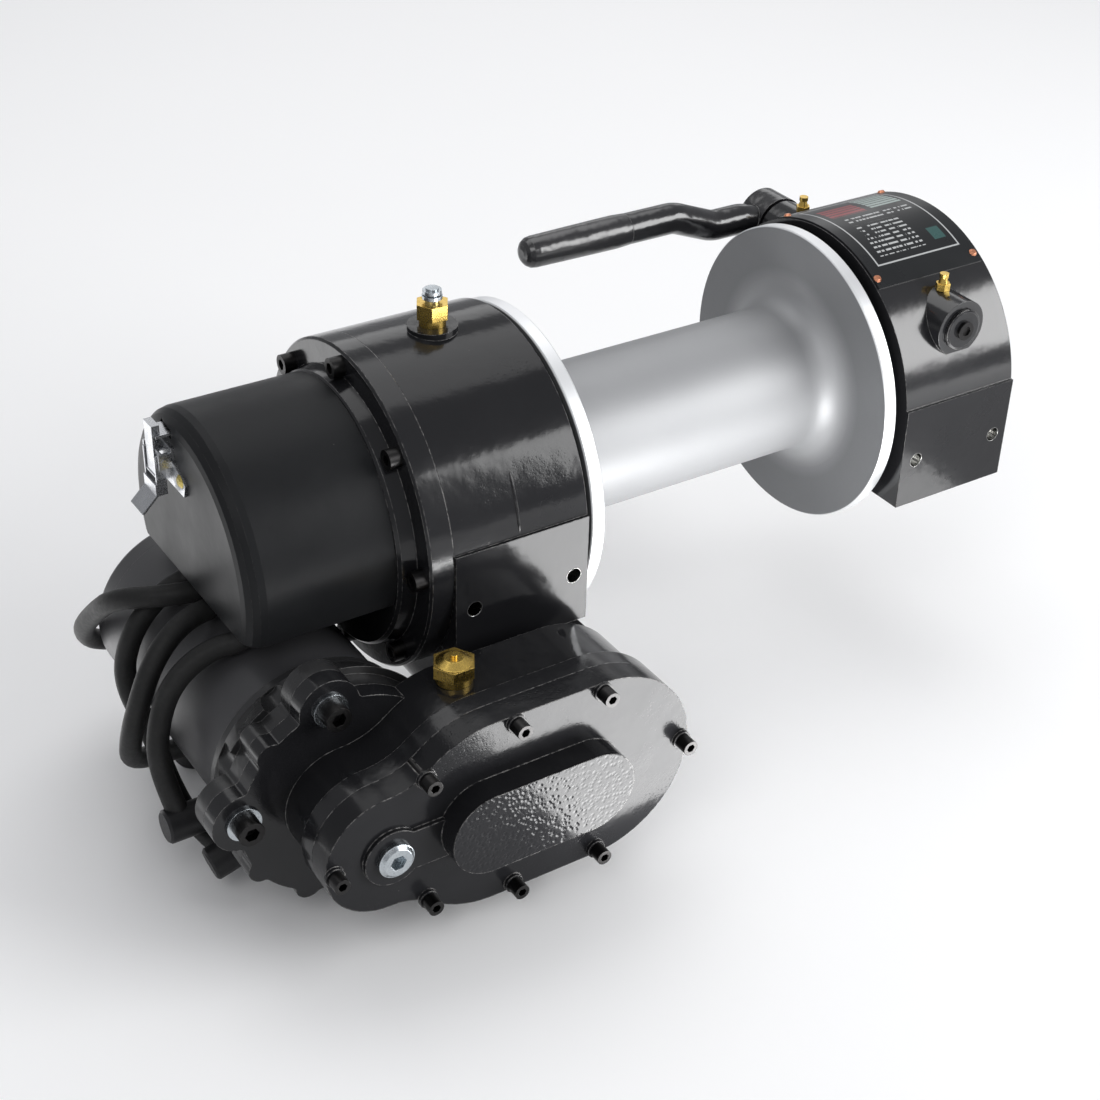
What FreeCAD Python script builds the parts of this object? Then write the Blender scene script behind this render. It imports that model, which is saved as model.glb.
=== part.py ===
import FreeCAD, Part
import math
import os
import Sketcher
from FreeCAD import Placement, Rotation, Vector

# Electric worm-gear winch: a 12 V motor drives a three-gear reduction case, a worm and
# worm wheel, and a drum through a jaw clutch that a hand lever shifts.
# Frame: +X along the drum axis towards the clutch housing, -Y towards the front face with
# the tapped mounting pads, +Z up. The origin is on the drum axis, half way along the barrel.

doc = FreeCAD.newDocument("WormGearWinch")
sheet = doc.addObject("Spreadsheet::Sheet", "dims")
sheet_row = 0


class Size:
    """A length that carries its value and the spreadsheet formula it comes from."""

    def __init__(self, value, text):
        self.value = float(value)
        self.text = text

    def join(self, sign, other, value):
        return Size(value, "(%s %s %s)" % (self.text, sign, other.text))

    def __add__(self, other):
        other = size(other)
        return self.join("+", other, self.value + other.value)

    def __radd__(self, other):
        return size(other) + self

    def __sub__(self, other):
        other = size(other)
        return self.join("-", other, self.value - other.value)

    def __rsub__(self, other):
        return size(other) - self

    def __mul__(self, other):
        other = size(other)
        return self.join("*", other, self.value * other.value)

    def __rmul__(self, other):
        return size(other) * self

    def __truediv__(self, other):
        other = size(other)
        return self.join("/", other, self.value / other.value)

    def __neg__(self):
        return Size(-self.value, "(0 - %s)" % self.text)


def size(number):
    return number if isinstance(number, Size) else Size(number, "%.6f" % number)


def dim(name, value, note):
    """Put a driving dimension in the sheet under an alias and return it."""
    global sheet_row
    sheet_row += 1
    sheet.set("A%d" % sheet_row, note)
    sheet.set("B%d" % sheet_row, "%g" % value)
    sheet.setAlias("B%d" % sheet_row, name)
    return Size(value, "dims.%s" % name)


# ---------------------------------------------------------------- driving dimensions (mm)
barrel_half = dim("barrel_half", 114.3, "half the barrel's length between the flanges")
barrel_radius = dim("barrel_radius", 51.8, "rope barrel")
flange_radius = dim("flange_radius", 106.4, "drum flanges")
flange_thick = dim("flange_thick", 10.0, "drum flange thickness")
barrel_fillet = dim("barrel_fillet", 18.0, "flare from barrel to flange")
housing_radius = dim("housing_radius", 108.3, "round part of both housings")
pad_front = dim("pad_front", 109.5, "drum axis to the mounting pads' faces")
pad_top = dim("pad_top", 14.9, "top ledge of the pads")
base_depth = dim("base_depth", 60.8, "drum axis down to the housings' flat bases")
pad_hole_drop = dim("pad_hole_drop", 25.9, "drum axis down to the tapped holes")
pad_hole_radius = dim("pad_hole_radius", 5.1, "M12 tapped hole")
pad_hole_pitch = dim("pad_hole_pitch", 72.0, "between the two holes of a pad")
worm_housing_left = dim("worm_housing_left", 224.2, "left face of the worm housing")
worm_housing_right = dim("worm_housing_right", 129.0, "right face of the worm housing")
clutch_left = dim("clutch_left", 131.5, "left face of the clutch housing")
clutch_right = dim("clutch_right", 228.3, "right face of the clutch housing")
cover_plate = dim("cover_plate", 16.5, "gear cover's flange thickness")
cover_step = dim("cover_step", 11.3, "gear cover's raised centre")
cover_centre = dim("cover_centre", 90.0, "gear cover's raised centre, radius")
cover_screw_ring = dim("cover_screw_ring", 98.6, "gear cover's screw circle, radius")
cavity_radius = dim("cavity_radius", 89.0, "oil bath around the worm wheel")
shaft_radius = dim("shaft_radius", 20.0, "drum shaft")
running = dim("running", 0.05, "radial running clearance")
wheel_plane = dim("wheel_plane", 177.0, "worm and wheel's mid plane, left of the origin")
worm_drop = dim("worm_drop", 104.0, "worm axis below the drum axis")
tunnel_radius = dim("tunnel_radius", 42.0, "worm tunnel, outside")
worm_bore = dim("worm_bore", 31.0, "worm tunnel, inside")
case_back = dim("case_back", 128.0, "drum axis to the reduction case's back face")
case_front = dim("case_front", 182.0, "drum axis to the reduction case's cover joint")
cover_face = dim("cover_face", 199.0, "drum axis to the reduction cover's face")
lobe_big = dim("lobe_big", 66.5, "reduction case, round the output gear")
lobe_small = dim("lobe_small", 40.5, "reduction case, round the motor pinion")
lobe_middle = dim("lobe_middle", 250.0, "second centre of the big lobe")
lobe_left = dim("lobe_left", 321.0, "centre of the small lobe")
motor_line = dim("motor_line", 317.0, "motor axis, left of the origin")
motor_radius = dim("motor_radius", 62.5, "motor shell")
cross_line = dim("cross_line", 180.0, "clutch cross shaft, right of the origin")
cross_height = dim("cross_height", 62.0, "clutch cross shaft above the drum axis")
cross_radius = dim("cross_radius", 10.0, "clutch cross shaft")
cross_boss = dim("cross_boss", 20.0, "bosses that carry the cross shaft")
boss_reach = dim("boss_reach", 98.6, "drum axis to the bosses' faces")
box_radius = dim("box_radius", 86.4, "control cover, round part")
box_floor = dim("box_floor", 25.0, "drum axis down to the control cover's open bottom")
box_left = dim("box_left", 348.5, "control cover's end face")
box_wall = dim("box_wall", 2.5, "control cover's wall")
cable_radius = dim("cable_radius", 7.0, "motor leads, over the sheath")

parts = {}

AXIS_TURN = {
    "X": Rotation(Vector(0, 1, 0), 90),
    "Y": Rotation(Vector(1, 0, 0), -90),
    "Z": Rotation(),
}


def keep(node, feature):
    """Name the finished feature of a sub-part."""
    feature.Label = node
    parts[node] = feature
    return feature


def place(feature, spot, turn=None):
    spot = [size(v) for v in spot]
    feature.Placement = Placement(Vector(*[v.value for v in spot]), turn or Rotation())
    for letter, value in zip("xyz", spot):
        if "dims." in value.text:
            feature.setExpression("Placement.Base.%s" % letter, value.text)


def bind(feature, prop, value):
    value = size(value)
    setattr(feature, prop, value.value)
    if "dims." in value.text:
        feature.setExpression(prop, value.text)


def spot_on(axis, along, across):
    """Point at a distance along an axis, with the two other coordinates in X, Y, Z order."""
    order = {"X": (along, across[0], across[1]),
             "Y": (across[0], along, across[1]),
             "Z": (across[0], across[1], along)}
    return order[axis]


def rod(name, axis, start, end, radius, across=(0, 0), sector=None, turn=0):
    """Cylinder along an axis from start to end; a sector angle leaves only a slice."""
    feature = doc.addObject("Part::Cylinder", name)
    bind(feature, "Radius", radius)
    bind(feature, "Height", size(end) - size(start))
    if sector:
        feature.Angle = sector
    place(feature, spot_on(axis, start, across),
          AXIS_TURN[axis].multiply(Rotation(Vector(0, 0, 1), turn)))
    return feature


def cone(name, axis, start, end, radius_start, radius_end, across=(0, 0)):
    feature = doc.addObject("Part::Cone", name)
    bind(feature, "Radius1", radius_start)
    bind(feature, "Radius2", radius_end)
    bind(feature, "Height", size(end) - size(start))
    place(feature, spot_on(axis, start, across), AXIS_TURN[axis])
    return feature


def hexagon(name, axis, start, end, across_flats, across=(0, 0), turn=0):
    feature = doc.addObject("Part::Prism", name)
    feature.Polygon = 6
    bind(feature, "Circumradius", size(across_flats) / math.sqrt(3))
    bind(feature, "Height", size(end) - size(start))
    place(feature, spot_on(axis, start, across),
          AXIS_TURN[axis].multiply(Rotation(Vector(0, 0, 1), turn)))
    return feature


def block(name, low, high):
    feature = doc.addObject("Part::Box", name)
    for prop, near, far in zip(("Length", "Width", "Height"), low, high):
        bind(feature, prop, size(far) - size(near))
    place(feature, low)
    return feature


def join(name, *pieces):
    feature = doc.addObject("Part::MultiFuse", name)
    feature.Shapes = list(pieces)
    return feature


def cut(name, base, *tools):
    tool = tools[0] if len(tools) == 1 else join(name + "_tools", *tools)
    feature = doc.addObject("Part::Cut", name)
    feature.Base = base
    feature.Tool = tool
    return feature


def shared(name, *pieces):
    feature = doc.addObject("Part::MultiCommon", name)
    feature.Shapes = list(pieces)
    return feature


def group(name, *pieces):
    feature = doc.addObject("Part::Compound", name)
    feature.Links = list(pieces)
    return feature


def shaped(name, shape):
    """A feature for a shape that no primitive, sketch or boolean gives."""
    feature = doc.addObject("Part::Feature", name)
    feature.Shape = shape
    return feature


def copies(name, source, placements):
    """Separate solids: one copy of a finished feature at each placement."""
    doc.recompute()
    shapes = []
    for placement in placements:
        shape = source.Shape.copy()
        shape.Placement = placement.multiply(source.Placement)
        shapes.append(shape)
    return shaped(name, Part.makeCompound(shapes))


def origin_plane(body, role):
    return next(f for f in body.Origin.OriginFeatures if f.Role == role)


def profile_sketch(body, name, points):
    """Closed polygon on the body's XY plane, each corner dimensioned from the origin."""
    sketch = body.newObject("Sketcher::SketchObject", name)
    sketch.AttachmentSupport = [(origin_plane(body, "XY_Plane"), "")]
    sketch.MapMode = "FlatFace"
    points = [(size(a), size(b)) for a, b in points]
    corners = [Vector(a.value, b.value, 0) for a, b in points]
    for i, corner in enumerate(corners):
        following = corners[(i + 1) % len(corners)]
        sketch.addGeometry(Part.LineSegment(corner, following), False)
    for i in range(len(corners)):
        sketch.addConstraint(Sketcher.Constraint("Coincident", i, 2, (i + 1) % len(corners), 1))
    for i, (a, b) in enumerate(points):
        for kind, value, line in (("DistanceX", a, -2), ("DistanceY", b, -1)):
            if value.value == 0:
                sketch.addConstraint(Sketcher.Constraint("PointOnObject", i, 1, line))
                continue
            index = sketch.addConstraint(
                Sketcher.Constraint(kind, -1, 1, i, 1, value.value))
            if "dims." in value.text:
                sketch.setExpression("Constraints[%d]" % index, value.text)
    return sketch


def turned(name, axis, profile, across=(0, 0)):
    """PartDesign solid of revolution about X or Y; the profile is (along, radius) points."""
    body = doc.addObject("PartDesign::Body", name)
    if axis == "Y":
        profile = [(radius, along) for along, radius in profile]
    sketch = profile_sketch(body, name + "_profile", profile)
    turn = body.newObject("PartDesign::Revolution", name + "_turn")
    turn.Profile = sketch
    turn.ReferenceAxis = (sketch, ["H_Axis" if axis == "X" else "V_Axis"])
    turn.Angle = 360
    if axis == "X":
        place(body, (0, across[0], across[1]))
    else:
        place(body, (across[0], 0, across[1]))
    return body


def tube_profile(start, end, inner, outer):
    return [(start, inner), (start, outer), (end, outer), (end, inner)]


def rounded(body, name, radius, wanted):
    """PartDesign fillet on the edges of a body that pass the test."""
    doc.recompute()
    base = body.Tip
    names = ["Edge%d" % (i + 1) for i, e in enumerate(base.Shape.Edges) if wanted(e)]
    fillet = body.newObject("PartDesign::Fillet", name)
    fillet.Base = (base, names)
    bind(fillet, "Radius", radius)
    return body


def ring_edge(radius, along):
    """Test for a full circle about X of one radius at one place."""
    def wanted(edge):
        curve = edge.Curve
        return (isinstance(curve, Part.Circle) and abs(curve.Radius - radius) < 0.01
                and abs(curve.Center.x - along) < 0.01)
    return wanted


def cap_screw(name, head_radius, head_height, shank_radius, shank_length):
    """Socket-head cap screw along +Z: head above Z = 0, shank below, hex socket on top."""
    head = rod(name + "_head", "Z", 0, head_height, head_radius)
    shank = rod(name + "_shank", "Z", -shank_length, 0, shank_radius)
    socket = hexagon(name + "_socket", "Z", head_height * 0.45, head_height + 1,
                     head_radius)
    return cut(name, join(name + "_solid", head, shank), socket)


def facing(axis_vector, spot):
    """Placement that points local +Z along a direction from a spot."""
    return Placement(Vector(*spot), Rotation(Vector(0, 0, 1), Vector(*axis_vector)))


def on_circle(radius, degrees):
    angle = math.radians(degrees)
    return radius * math.cos(angle), radius * math.sin(angle)


# ---------------------------------------------------------------- gears

def gear_outline(module, teeth, addendum, dedendum, backlash, phase):
    """Involute tooth corners, counter-clockwise; one tooth is centred on phase (degrees)."""
    pitch = module * teeth / 2
    pressure = math.radians(20)
    base = pitch * math.cos(pressure)
    tip = pitch + addendum
    root = pitch - dedendum
    half_tooth = math.pi / (2 * teeth) - backlash / (2 * pitch)
    roll_pitch = math.tan(pressure) - pressure
    flank_steps = 5
    start = max(root, base)
    flank = []
    for i in range(flank_steps + 1):
        radius = start + (tip - start) * i / flank_steps
        roll = math.acos(min(1.0, base / radius))
        flank.append((radius, half_tooth + roll_pitch - (math.tan(roll) - roll)))
    if root < base:
        flank.insert(0, (root, flank[0][1]))
    corners = []
    for tooth in range(teeth):
        centre = math.radians(phase) + 2 * math.pi * tooth / teeth
        for radius, angle in flank:
            corners.append((radius, centre - angle))
        for radius, angle in reversed(flank):
            corners.append((radius, centre + angle))
    return [(r * math.cos(a), r * math.sin(a)) for r, a in corners]


def spur_gear(name, module, teeth, phase, back, front, bore, along_x, along_z):
    """Spur gear about Y between two Y planes, with a plain bore."""
    outline = gear_outline(module, teeth, 0.85 * module, 1.25 * module, 0.25, phase)
    corners = [Vector(along_x + u, front, along_z + v) for u, v in outline]
    face = Part.Face(Part.makePolygon(corners + corners[:1]))
    blank = face.extrude(Vector(0, back - front, 0))
    blank = blank.cut(Part.makeCylinder(bore, back - front, Vector(along_x, front, along_z),
                                        Vector(0, 1, 0)))
    return shaped(name, blank)


def twisted_gear(outline, start, end, twist):
    """Prism about X whose section turns by twist degrees, as flat triangles."""
    half = math.radians(twist / 2)

    def section(along, angle):
        c, s = math.cos(angle), math.sin(angle)
        return [Vector(along, u * c - v * s, u * s + v * c) for u, v in outline]

    near, far = section(start, -half), section(end, half)
    faces = [Part.Face(Part.makePolygon(near + near[:1])),
             Part.Face(Part.makePolygon(far + far[:1]))]
    count = len(outline)
    for i in range(count):
        j = (i + 1) % count
        faces.append(Part.Face(Part.makePolygon([near[i], near[j], far[j], near[i]])))
        faces.append(Part.Face(Part.makePolygon([near[i], far[j], far[i], near[i]])))
    solid = Part.Solid(Part.Shell(faces))
    if solid.Volume < 0:
        solid.reverse()
    return solid


def worm_thread(pitch_radius, module, length, along_x, along_z):
    """Right-hand single-start trapezoid thread about Y, centred on Y = 0."""
    lead = math.pi * module
    inner, outer = pitch_radius - 1.35 * module, pitch_radius + 0.95 * module
    half_at_pitch = lead / 4 - 0.22
    slope = math.tan(math.radians(20))

    def half_width(radius):
        return half_at_pitch - (radius - pitch_radius) * slope

    helix = Part.makeHelix(lead, length, pitch_radius)
    corners = [Vector(inner, 0, -half_width(inner)), Vector(outer, 0, -half_width(outer)),
               Vector(outer, 0, half_width(outer)), Vector(inner, 0, half_width(inner))]
    section = Part.makePolygon(corners + corners[:1])
    thread = Part.Wire(helix.Edges).makePipeShell([section], True, True)
    # The helix runs up Z from the local +X side. A whole number of leads sits on each side
    # of the middle, and +X is turned to face +Z, towards the wheel, with Z laid along Y.
    thread.translate(Vector(0, 0, -length / 2))
    turn = Rotation(Vector(0, 0, 1), Vector(1, 0, 0), Vector(0, 1, 0), "ZXY")
    thread.Placement = Placement(Vector(along_x, 0, along_z), turn).multiply(thread.Placement)
    return thread


# ---------------------------------------------------------------- outlines of the castings

def arc_through(centre, radius, start, end):
    """Arc in the XZ plane about a centre, angles in degrees, counter-clockwise."""
    def point(angle):
        u, v = on_circle(radius, angle)
        return Vector(centre[0] + u, 0, centre[1] + v)
    return Part.Arc(point(start), point((start + end) / 2), point(end)).toShape()


def angle_of(centre, point):
    return math.degrees(math.atan2(point[1] - centre[1], point[0] - centre[0]))


def case_outline(inset):
    """Outline of the reduction case in XZ: an obround big lobe, necked to a small lobe."""
    z = -worm_drop.value
    big, small, neck = lobe_big.value - inset, lobe_small.value - inset, 46.0 + inset
    right, middle = (-wheel_plane.value, z), (-lobe_middle.value, z)
    left = (-lobe_left.value, z)
    gap = middle[0] - left[0]
    reach_middle, reach_left = big + neck, small + neck
    shift = (reach_left ** 2 - reach_middle ** 2 + gap ** 2) / (2 * gap)
    rise = math.sqrt(reach_left ** 2 - shift ** 2)
    upper, lower = (left[0] + shift, z + rise), (left[0] + shift, z - rise)
    join_angle = angle_of(middle, upper)
    leave_angle = angle_of(left, upper)
    edges = [
        arc_through(right, big, -90, 90),
        Part.makeLine(Vector(right[0], 0, z + big), Vector(middle[0], 0, z + big)),
        arc_through(middle, big, 90, join_angle),
        arc_through(upper, neck, angle_of(upper, left) + 360, angle_of(upper, middle) + 360),
        arc_through(left, small, leave_angle, 360 - leave_angle),
        arc_through(lower, neck, angle_of(lower, middle), angle_of(lower, left)),
        arc_through(middle, big, 360 - join_angle, 270),
        Part.makeLine(Vector(middle[0], 0, z - big), Vector(right[0], 0, z - big)),
    ]
    return Part.Wire(Part.__sortEdges__(edges))


def extruded(name, wire, back, front):
    """Casting outline pulled along Y between two planes."""
    face = Part.Face(wire)
    face.translate(Vector(0, front, 0))
    return shaped(name, face.extrude(Vector(0, back - front, 0)))


# ================================================================ drum and its shaft
flange_end = barrel_half + flange_thick
drum_bore = shaft_radius + 4
drum_body = turned("drum_casting", "X", [
    (-flange_end, drum_bore), (-flange_end, flange_radius - 1),
    (-flange_end + 1, flange_radius), (-barrel_half - 1, flange_radius),
    (-barrel_half, flange_radius - 1), (-barrel_half, barrel_radius),
    (barrel_half, barrel_radius), (barrel_half, flange_radius - 1),
    (barrel_half + 1, flange_radius), (flange_end - 1, flange_radius),
    (flange_end, flange_radius - 1), (flange_end, drum_bore),
    (88, drum_bore), (84, 38), (-84, 38), (-88, drum_bore)])
rounded(drum_body, "drum_flare_left", barrel_fillet,
        ring_edge(barrel_radius.value, -barrel_half.value))
rounded(drum_body, "drum_flare_right", barrel_fillet,
        ring_edge(barrel_radius.value, barrel_half.value))

DOG_COUNT = 3
DOG_ANGLE = 57
DOG_INNER, DOG_OUTER = 27, 44
drum_dogs_end = flange_end + 14


def dogs(name, start, end, first_angle):
    """Jaw clutch teeth: three sectors of a ring."""
    wedges = []
    for i in range(DOG_COUNT):
        turn = first_angle + i * 360 / DOG_COUNT - DOG_ANGLE / 2
        wedge = rod("%s_wedge_%d" % (name, i), "X", start, end, DOG_OUTER,
                    sector=DOG_ANGLE, turn=turn)
        wedges.append(wedge)
    hollow = rod(name + "_hollow", "X", size(start) - 1, size(end) + 1, DOG_INNER)
    return cut(name, join(name + "_ring", *wedges), hollow)


keep("drum", join("drum_solid", drum_body, dogs("drum_dogs", flange_end, drum_dogs_end, 0)))

keep("drum_bushings", group(
    "drum_bushing_pair",
    turned("drum_bushing_left", "X",
           tube_profile(-flange_end, -90, shaft_radius + running, drum_bore)),
    turned("drum_bushing_right", "X",
           tube_profile(90, flange_end, shaft_radius + running, drum_bore))))

HEX_FLATS = 34.0
END_JOURNAL = 16.5
hex_start, hex_end, shaft_end = 127.0, 206.0, 220.0
shaft_left = -worm_housing_left - cover_plate
keep("drum_shaft", join(
    "drum_shaft_solid",
    rod("drum_shaft_round", "X", shaft_left, hex_start, shaft_radius),
    hexagon("drum_shaft_hex", "X", hex_start, hex_end, HEX_FLATS),
    rod("drum_shaft_journal", "X", hex_end, shaft_end, END_JOURNAL)))

BUSHING_WALL = 5
wall_inner = worm_housing_right + 12
keep("shaft_bushings", group(
    "shaft_bushing_set",
    turned("bushing_in_cover", "X", tube_profile(
        shaft_left, -worm_housing_left - 1, shaft_radius + running,
        shaft_radius + BUSHING_WALL)),
    turned("bushing_in_wall", "X", tube_profile(
        -wall_inner, -worm_housing_right, shaft_radius + running,
        shaft_radius + BUSHING_WALL)),
    turned("bushing_in_clutch", "X", tube_profile(
        208, shaft_end, END_JOURNAL + running, 22))))

# ================================================================ worm wheel and worm
WORM_MODULE = 4.0
WHEEL_TEETH = 41
WHEEL_WIDTH = 34.0
wheel_pitch = WORM_MODULE * WHEEL_TEETH / 2
worm_pitch = worm_drop.value - wheel_pitch
lead_slope = WORM_MODULE / (2 * worm_pitch)
wheel_twist = math.degrees(lead_slope * WHEEL_WIDTH / wheel_pitch)
wheel_x = -wheel_plane.value
# One gap of the wheel faces straight down, where the worm's thread reaches into it.
wheel_outline = gear_outline(WORM_MODULE, WHEEL_TEETH, 0.95 * WORM_MODULE, 1.3 * WORM_MODULE,
                             0.44, -90 + 180 / WHEEL_TEETH)
wheel_rim = shaped("wheel_rim", twisted_gear(
    wheel_outline, wheel_x - WHEEL_WIDTH / 2, wheel_x + WHEEL_WIDTH / 2, wheel_twist))
wheel_hub = rod("wheel_hub", "X", wheel_x - 23, wheel_x + 23, 34)
wheel_recesses = [
    cut("wheel_recess_%s" % side,
        rod("wheel_recess_out_%s" % side, "X", start, start + 11, 68),
        rod("wheel_recess_in_%s" % side, "X", start - 1, start + 12, 40))
    for side, start in (("left", wheel_x - 18), ("right", wheel_x + 7))]
wheel_bore = rod("wheel_bore", "X", wheel_x - 30, wheel_x + 30, shaft_radius)
keep("worm_wheel", cut("worm_wheel_solid", join("wheel_blank", wheel_rim, wheel_hub),
                       wheel_bore, *wheel_recesses))

worm_axis = (-wheel_plane, -worm_drop)
WORM_JOURNAL = 15.0
GEAR_SEAT = 12.0
worm_root = worm_pitch - 1.2 * WORM_MODULE
worm_body = turned("worm_spindle", "Y", [
    (-188, 0), (-188, GEAR_SEAT - 1), (-187, GEAR_SEAT), (-145, GEAR_SEAT),
    (-145, WORM_JOURNAL), (-108, WORM_JOURNAL), (-108, worm_root), (66, worm_root),
    (66, WORM_JOURNAL), (85, WORM_JOURNAL), (85, 0)], across=worm_axis)
WORM_LEADS = 6
thread_length = WORM_LEADS * math.pi * WORM_MODULE
thread = shaped("worm_thread", worm_thread(
    worm_pitch, WORM_MODULE, thread_length, wheel_x, -worm_drop.value))
keep("worm_shaft", join("worm_solid", worm_body, thread))


def ball_bearing(name, start, end, inner, outer, across):
    """Sealed bearing as one ring, grooved on both faces between its races."""
    middle = (size(inner) + size(outer)) / 2
    depth = 0.8
    return turned(name, "Y", [
        (start, inner), (start, middle - 3.5), (start + depth, middle - 3.5),
        (start + depth, middle + 3.5), (start, middle + 3.5), (start, outer),
        (end, outer), (end, middle + 3.5), (end - depth, middle + 3.5),
        (end - depth, middle - 3.5), (end, middle - 3.5), (end, inner)], across=across)


keep("worm_bearings", group(
    "worm_bearing_pair",
    ball_bearing("worm_bearing_front", -127, -111, WORM_JOURNAL + running, worm_bore, worm_axis),
    ball_bearing("worm_bearing_rear", 69, 85, WORM_JOURNAL + running, worm_bore, worm_axis)))

# ================================================================ worm housing, left
wheel_x_range = (-worm_housing_left, -worm_housing_right)


def pad_holes(name, centre, depth):
    """Tools for the two tapped holes in a pad's front face."""
    return [rod("%s_hole_%d" % (name, i), "Y", -pad_front - 1, -pad_front + depth,
                pad_hole_radius,
                across=(size(centre) + pad_hole_pitch / 2 * side, -pad_hole_drop))
            for i, side in enumerate((-1, 1))]


left_pad_centre = -(worm_housing_left + worm_housing_right) / 2 + 1.6
BREATHER_X = -177.0
BREATHER_TAP = 6.5
COVER_SCREWS, COVER_SCREW = 8, 4.0
housing_blank = join(
    "gear_housing_blank",
    rod("gear_housing_round", "X", *wheel_x_range, housing_radius),
    block("gear_housing_pads", (wheel_x_range[0], -pad_front, -base_depth),
          (wheel_x_range[1], pad_front, pad_top)),
    rod("worm_tunnel", "Y", -case_back, 100, tunnel_radius, across=worm_axis),
    block("worm_tunnel_neck", (-wheel_plane - tunnel_radius, -pad_front, -worm_drop),
          (-wheel_plane + tunnel_radius, 100, -base_depth + 5)),
    block("worm_tunnel_front", (-wheel_plane - tunnel_radius, -case_back, -worm_drop),
          (-wheel_plane + tunnel_radius, -pad_front, -base_depth)),
    rod("breather_pad", "Z", 100, housing_radius + 3, 16, across=(BREATHER_X, 0)))
cover_screw_spots = [on_circle(cover_screw_ring.value, 360 * i / COVER_SCREWS)
                     for i in range(COVER_SCREWS)]
cover_taps = [
    rod("cover_tap_%d" % i, "X", -worm_housing_left - 1, -worm_housing_left + 22, COVER_SCREW,
        across=spot) for i, spot in enumerate(cover_screw_spots)]
keep("gear_housing", cut(
    "gear_housing_solid", housing_blank,
    rod("gear_cavity", "X", -worm_housing_left - 1, -wall_inner, cavity_radius),
    rod("gear_wall_bore", "X", -wall_inner - 1, -worm_housing_right + 1,
        shaft_radius + BUSHING_WALL),
    rod("worm_bore_tool", "Y", -case_back - 1, 85, worm_bore, across=worm_axis),
    rod("breather_tap", "Z", 60, housing_radius + 5, BREATHER_TAP, across=(BREATHER_X, 0)),
    *cover_taps, *pad_holes("left_pad", left_pad_centre, 26)))

flange_face = worm_housing_left + cover_plate
boss_face = flange_face + cover_step
cover_body = turned("gear_cover_casting", "X", [
    (-worm_housing_left, shaft_radius + BUSHING_WALL), (-worm_housing_left, housing_radius),
    (-flange_face + 1.5, housing_radius), (-flange_face, housing_radius - 1.5),
    (-flange_face, cover_centre + 2), (-boss_face + 2, cover_centre),
    (-boss_face, cover_centre - 2), (-boss_face, 0), (-flange_face, 0),
    (-flange_face, shaft_radius + BUSHING_WALL)])
cover_holes = [
    rod("cover_hole_%d" % i, "X", -flange_face - 1, -worm_housing_left + 1, COVER_SCREW,
        across=spot) for i, spot in enumerate(cover_screw_spots)]
keep("gear_cover", cut("gear_cover_solid", cover_body, *cover_holes))

big_screw = cap_screw("big_cap_screw", 6.5, 8, COVER_SCREW, 30)
keep("gear_cover_screws", copies("gear_cover_screw_ring", big_screw, [
    facing((-1, 0, 0), (-flange_face.value, *spot)) for spot in cover_screw_spots]))

breather_seat = housing_radius + 3
keep("breather_body", cut(
    "breather_body_solid",
    join("breather_body_blank",
         rod("breather_thread", "Z", breather_seat - 12, breather_seat, BREATHER_TAP,
             across=(BREATHER_X, 0)),
         rod("breather_collar", "Z", breather_seat, breather_seat + 5, 8.5,
             across=(BREATHER_X, 0)),
         hexagon("breather_hex", "Z", breather_seat + 5, breather_seat + 15, 19,
                 across=(BREATHER_X, 0))),
    rod("breather_duct", "Z", breather_seat - 13, breather_seat + 16, 3, across=(BREATHER_X, 0))))
keep("breather_cap", join(
    "breather_cap_solid",
    rod("breather_stem", "Z", breather_seat + 15, breather_seat + 17.5, 4.5,
        across=(BREATHER_X, 0)),
    *[rod("breather_disc_%d" % i, "Z", breather_seat + 17.5 + 3.4 * i,
          breather_seat + 19.9 + 3.4 * i, 6.4 - 0.4 * i, across=(BREATHER_X, 0))
      for i in range(2)],
    rod("breather_core", "Z", breather_seat + 17, breather_seat + 24.5, 4,
        across=(BREATHER_X, 0))))

# ================================================================ reduction case
SPUR_MODULE = 2.5
OUTPUT_TEETH, IDLER_TEETH, PINION_TEETH = 40, 29, 14
case_z = -worm_drop.value
output_x = -wheel_plane.value
idler_x = output_x - SPUR_MODULE * (OUTPUT_TEETH + IDLER_TEETH) / 2
pinion_x = idler_x - SPUR_MODULE * (IDLER_TEETH + PINION_TEETH) / 2
GEAR_BACK, GEAR_FRONT = -163.0, -186.0
IDLER_PIN = 14.0
SHAFT_MOTOR = 9.0

keep("output_gear", spur_gear("output_gear_solid", SPUR_MODULE, OUTPUT_TEETH, 0,
                              GEAR_BACK, GEAR_FRONT, GEAR_SEAT, output_x, case_z))
keep("idler_gear", spur_gear("idler_gear_solid", SPUR_MODULE, IDLER_TEETH, 180 / IDLER_TEETH,
                             GEAR_BACK, GEAR_FRONT, IDLER_PIN + running.value,
                             idler_x, case_z))
keep("motor_pinion", spur_gear("motor_pinion_solid", SPUR_MODULE, PINION_TEETH,
                               180 / PINION_TEETH, GEAR_BACK + 1, GEAR_FRONT - 1,
                               SHAFT_MOTOR, pinion_x, case_z))
keep("idler_pin", rod("idler_pin_solid", "Y", -191, -131, IDLER_PIN, across=(idler_x, case_z)))

EAR_CIRCLE = 67.3
EAR_ANGLES = (97.5, 174.0, 277.5)
EAR_RADIUS = 19.5
LOBE_ANGLES = (135.0, 210.0, 245.0)
FLANGE = 12.0
BODY_INSET = 4.0
CASE_WALL = 7.0
EAR_BOLT = 5.2
motor_x = -motor_line.value
motor_axis = (-motor_line, -worm_drop)


def at_motor(radius, degrees):
    """Point in XZ at a distance and angle from the motor axis."""
    u, v = on_circle(radius, degrees)
    return motor_x + u, case_z + v


ears = [at_motor(EAR_CIRCLE, a) for a in EAR_ANGLES]


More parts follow.
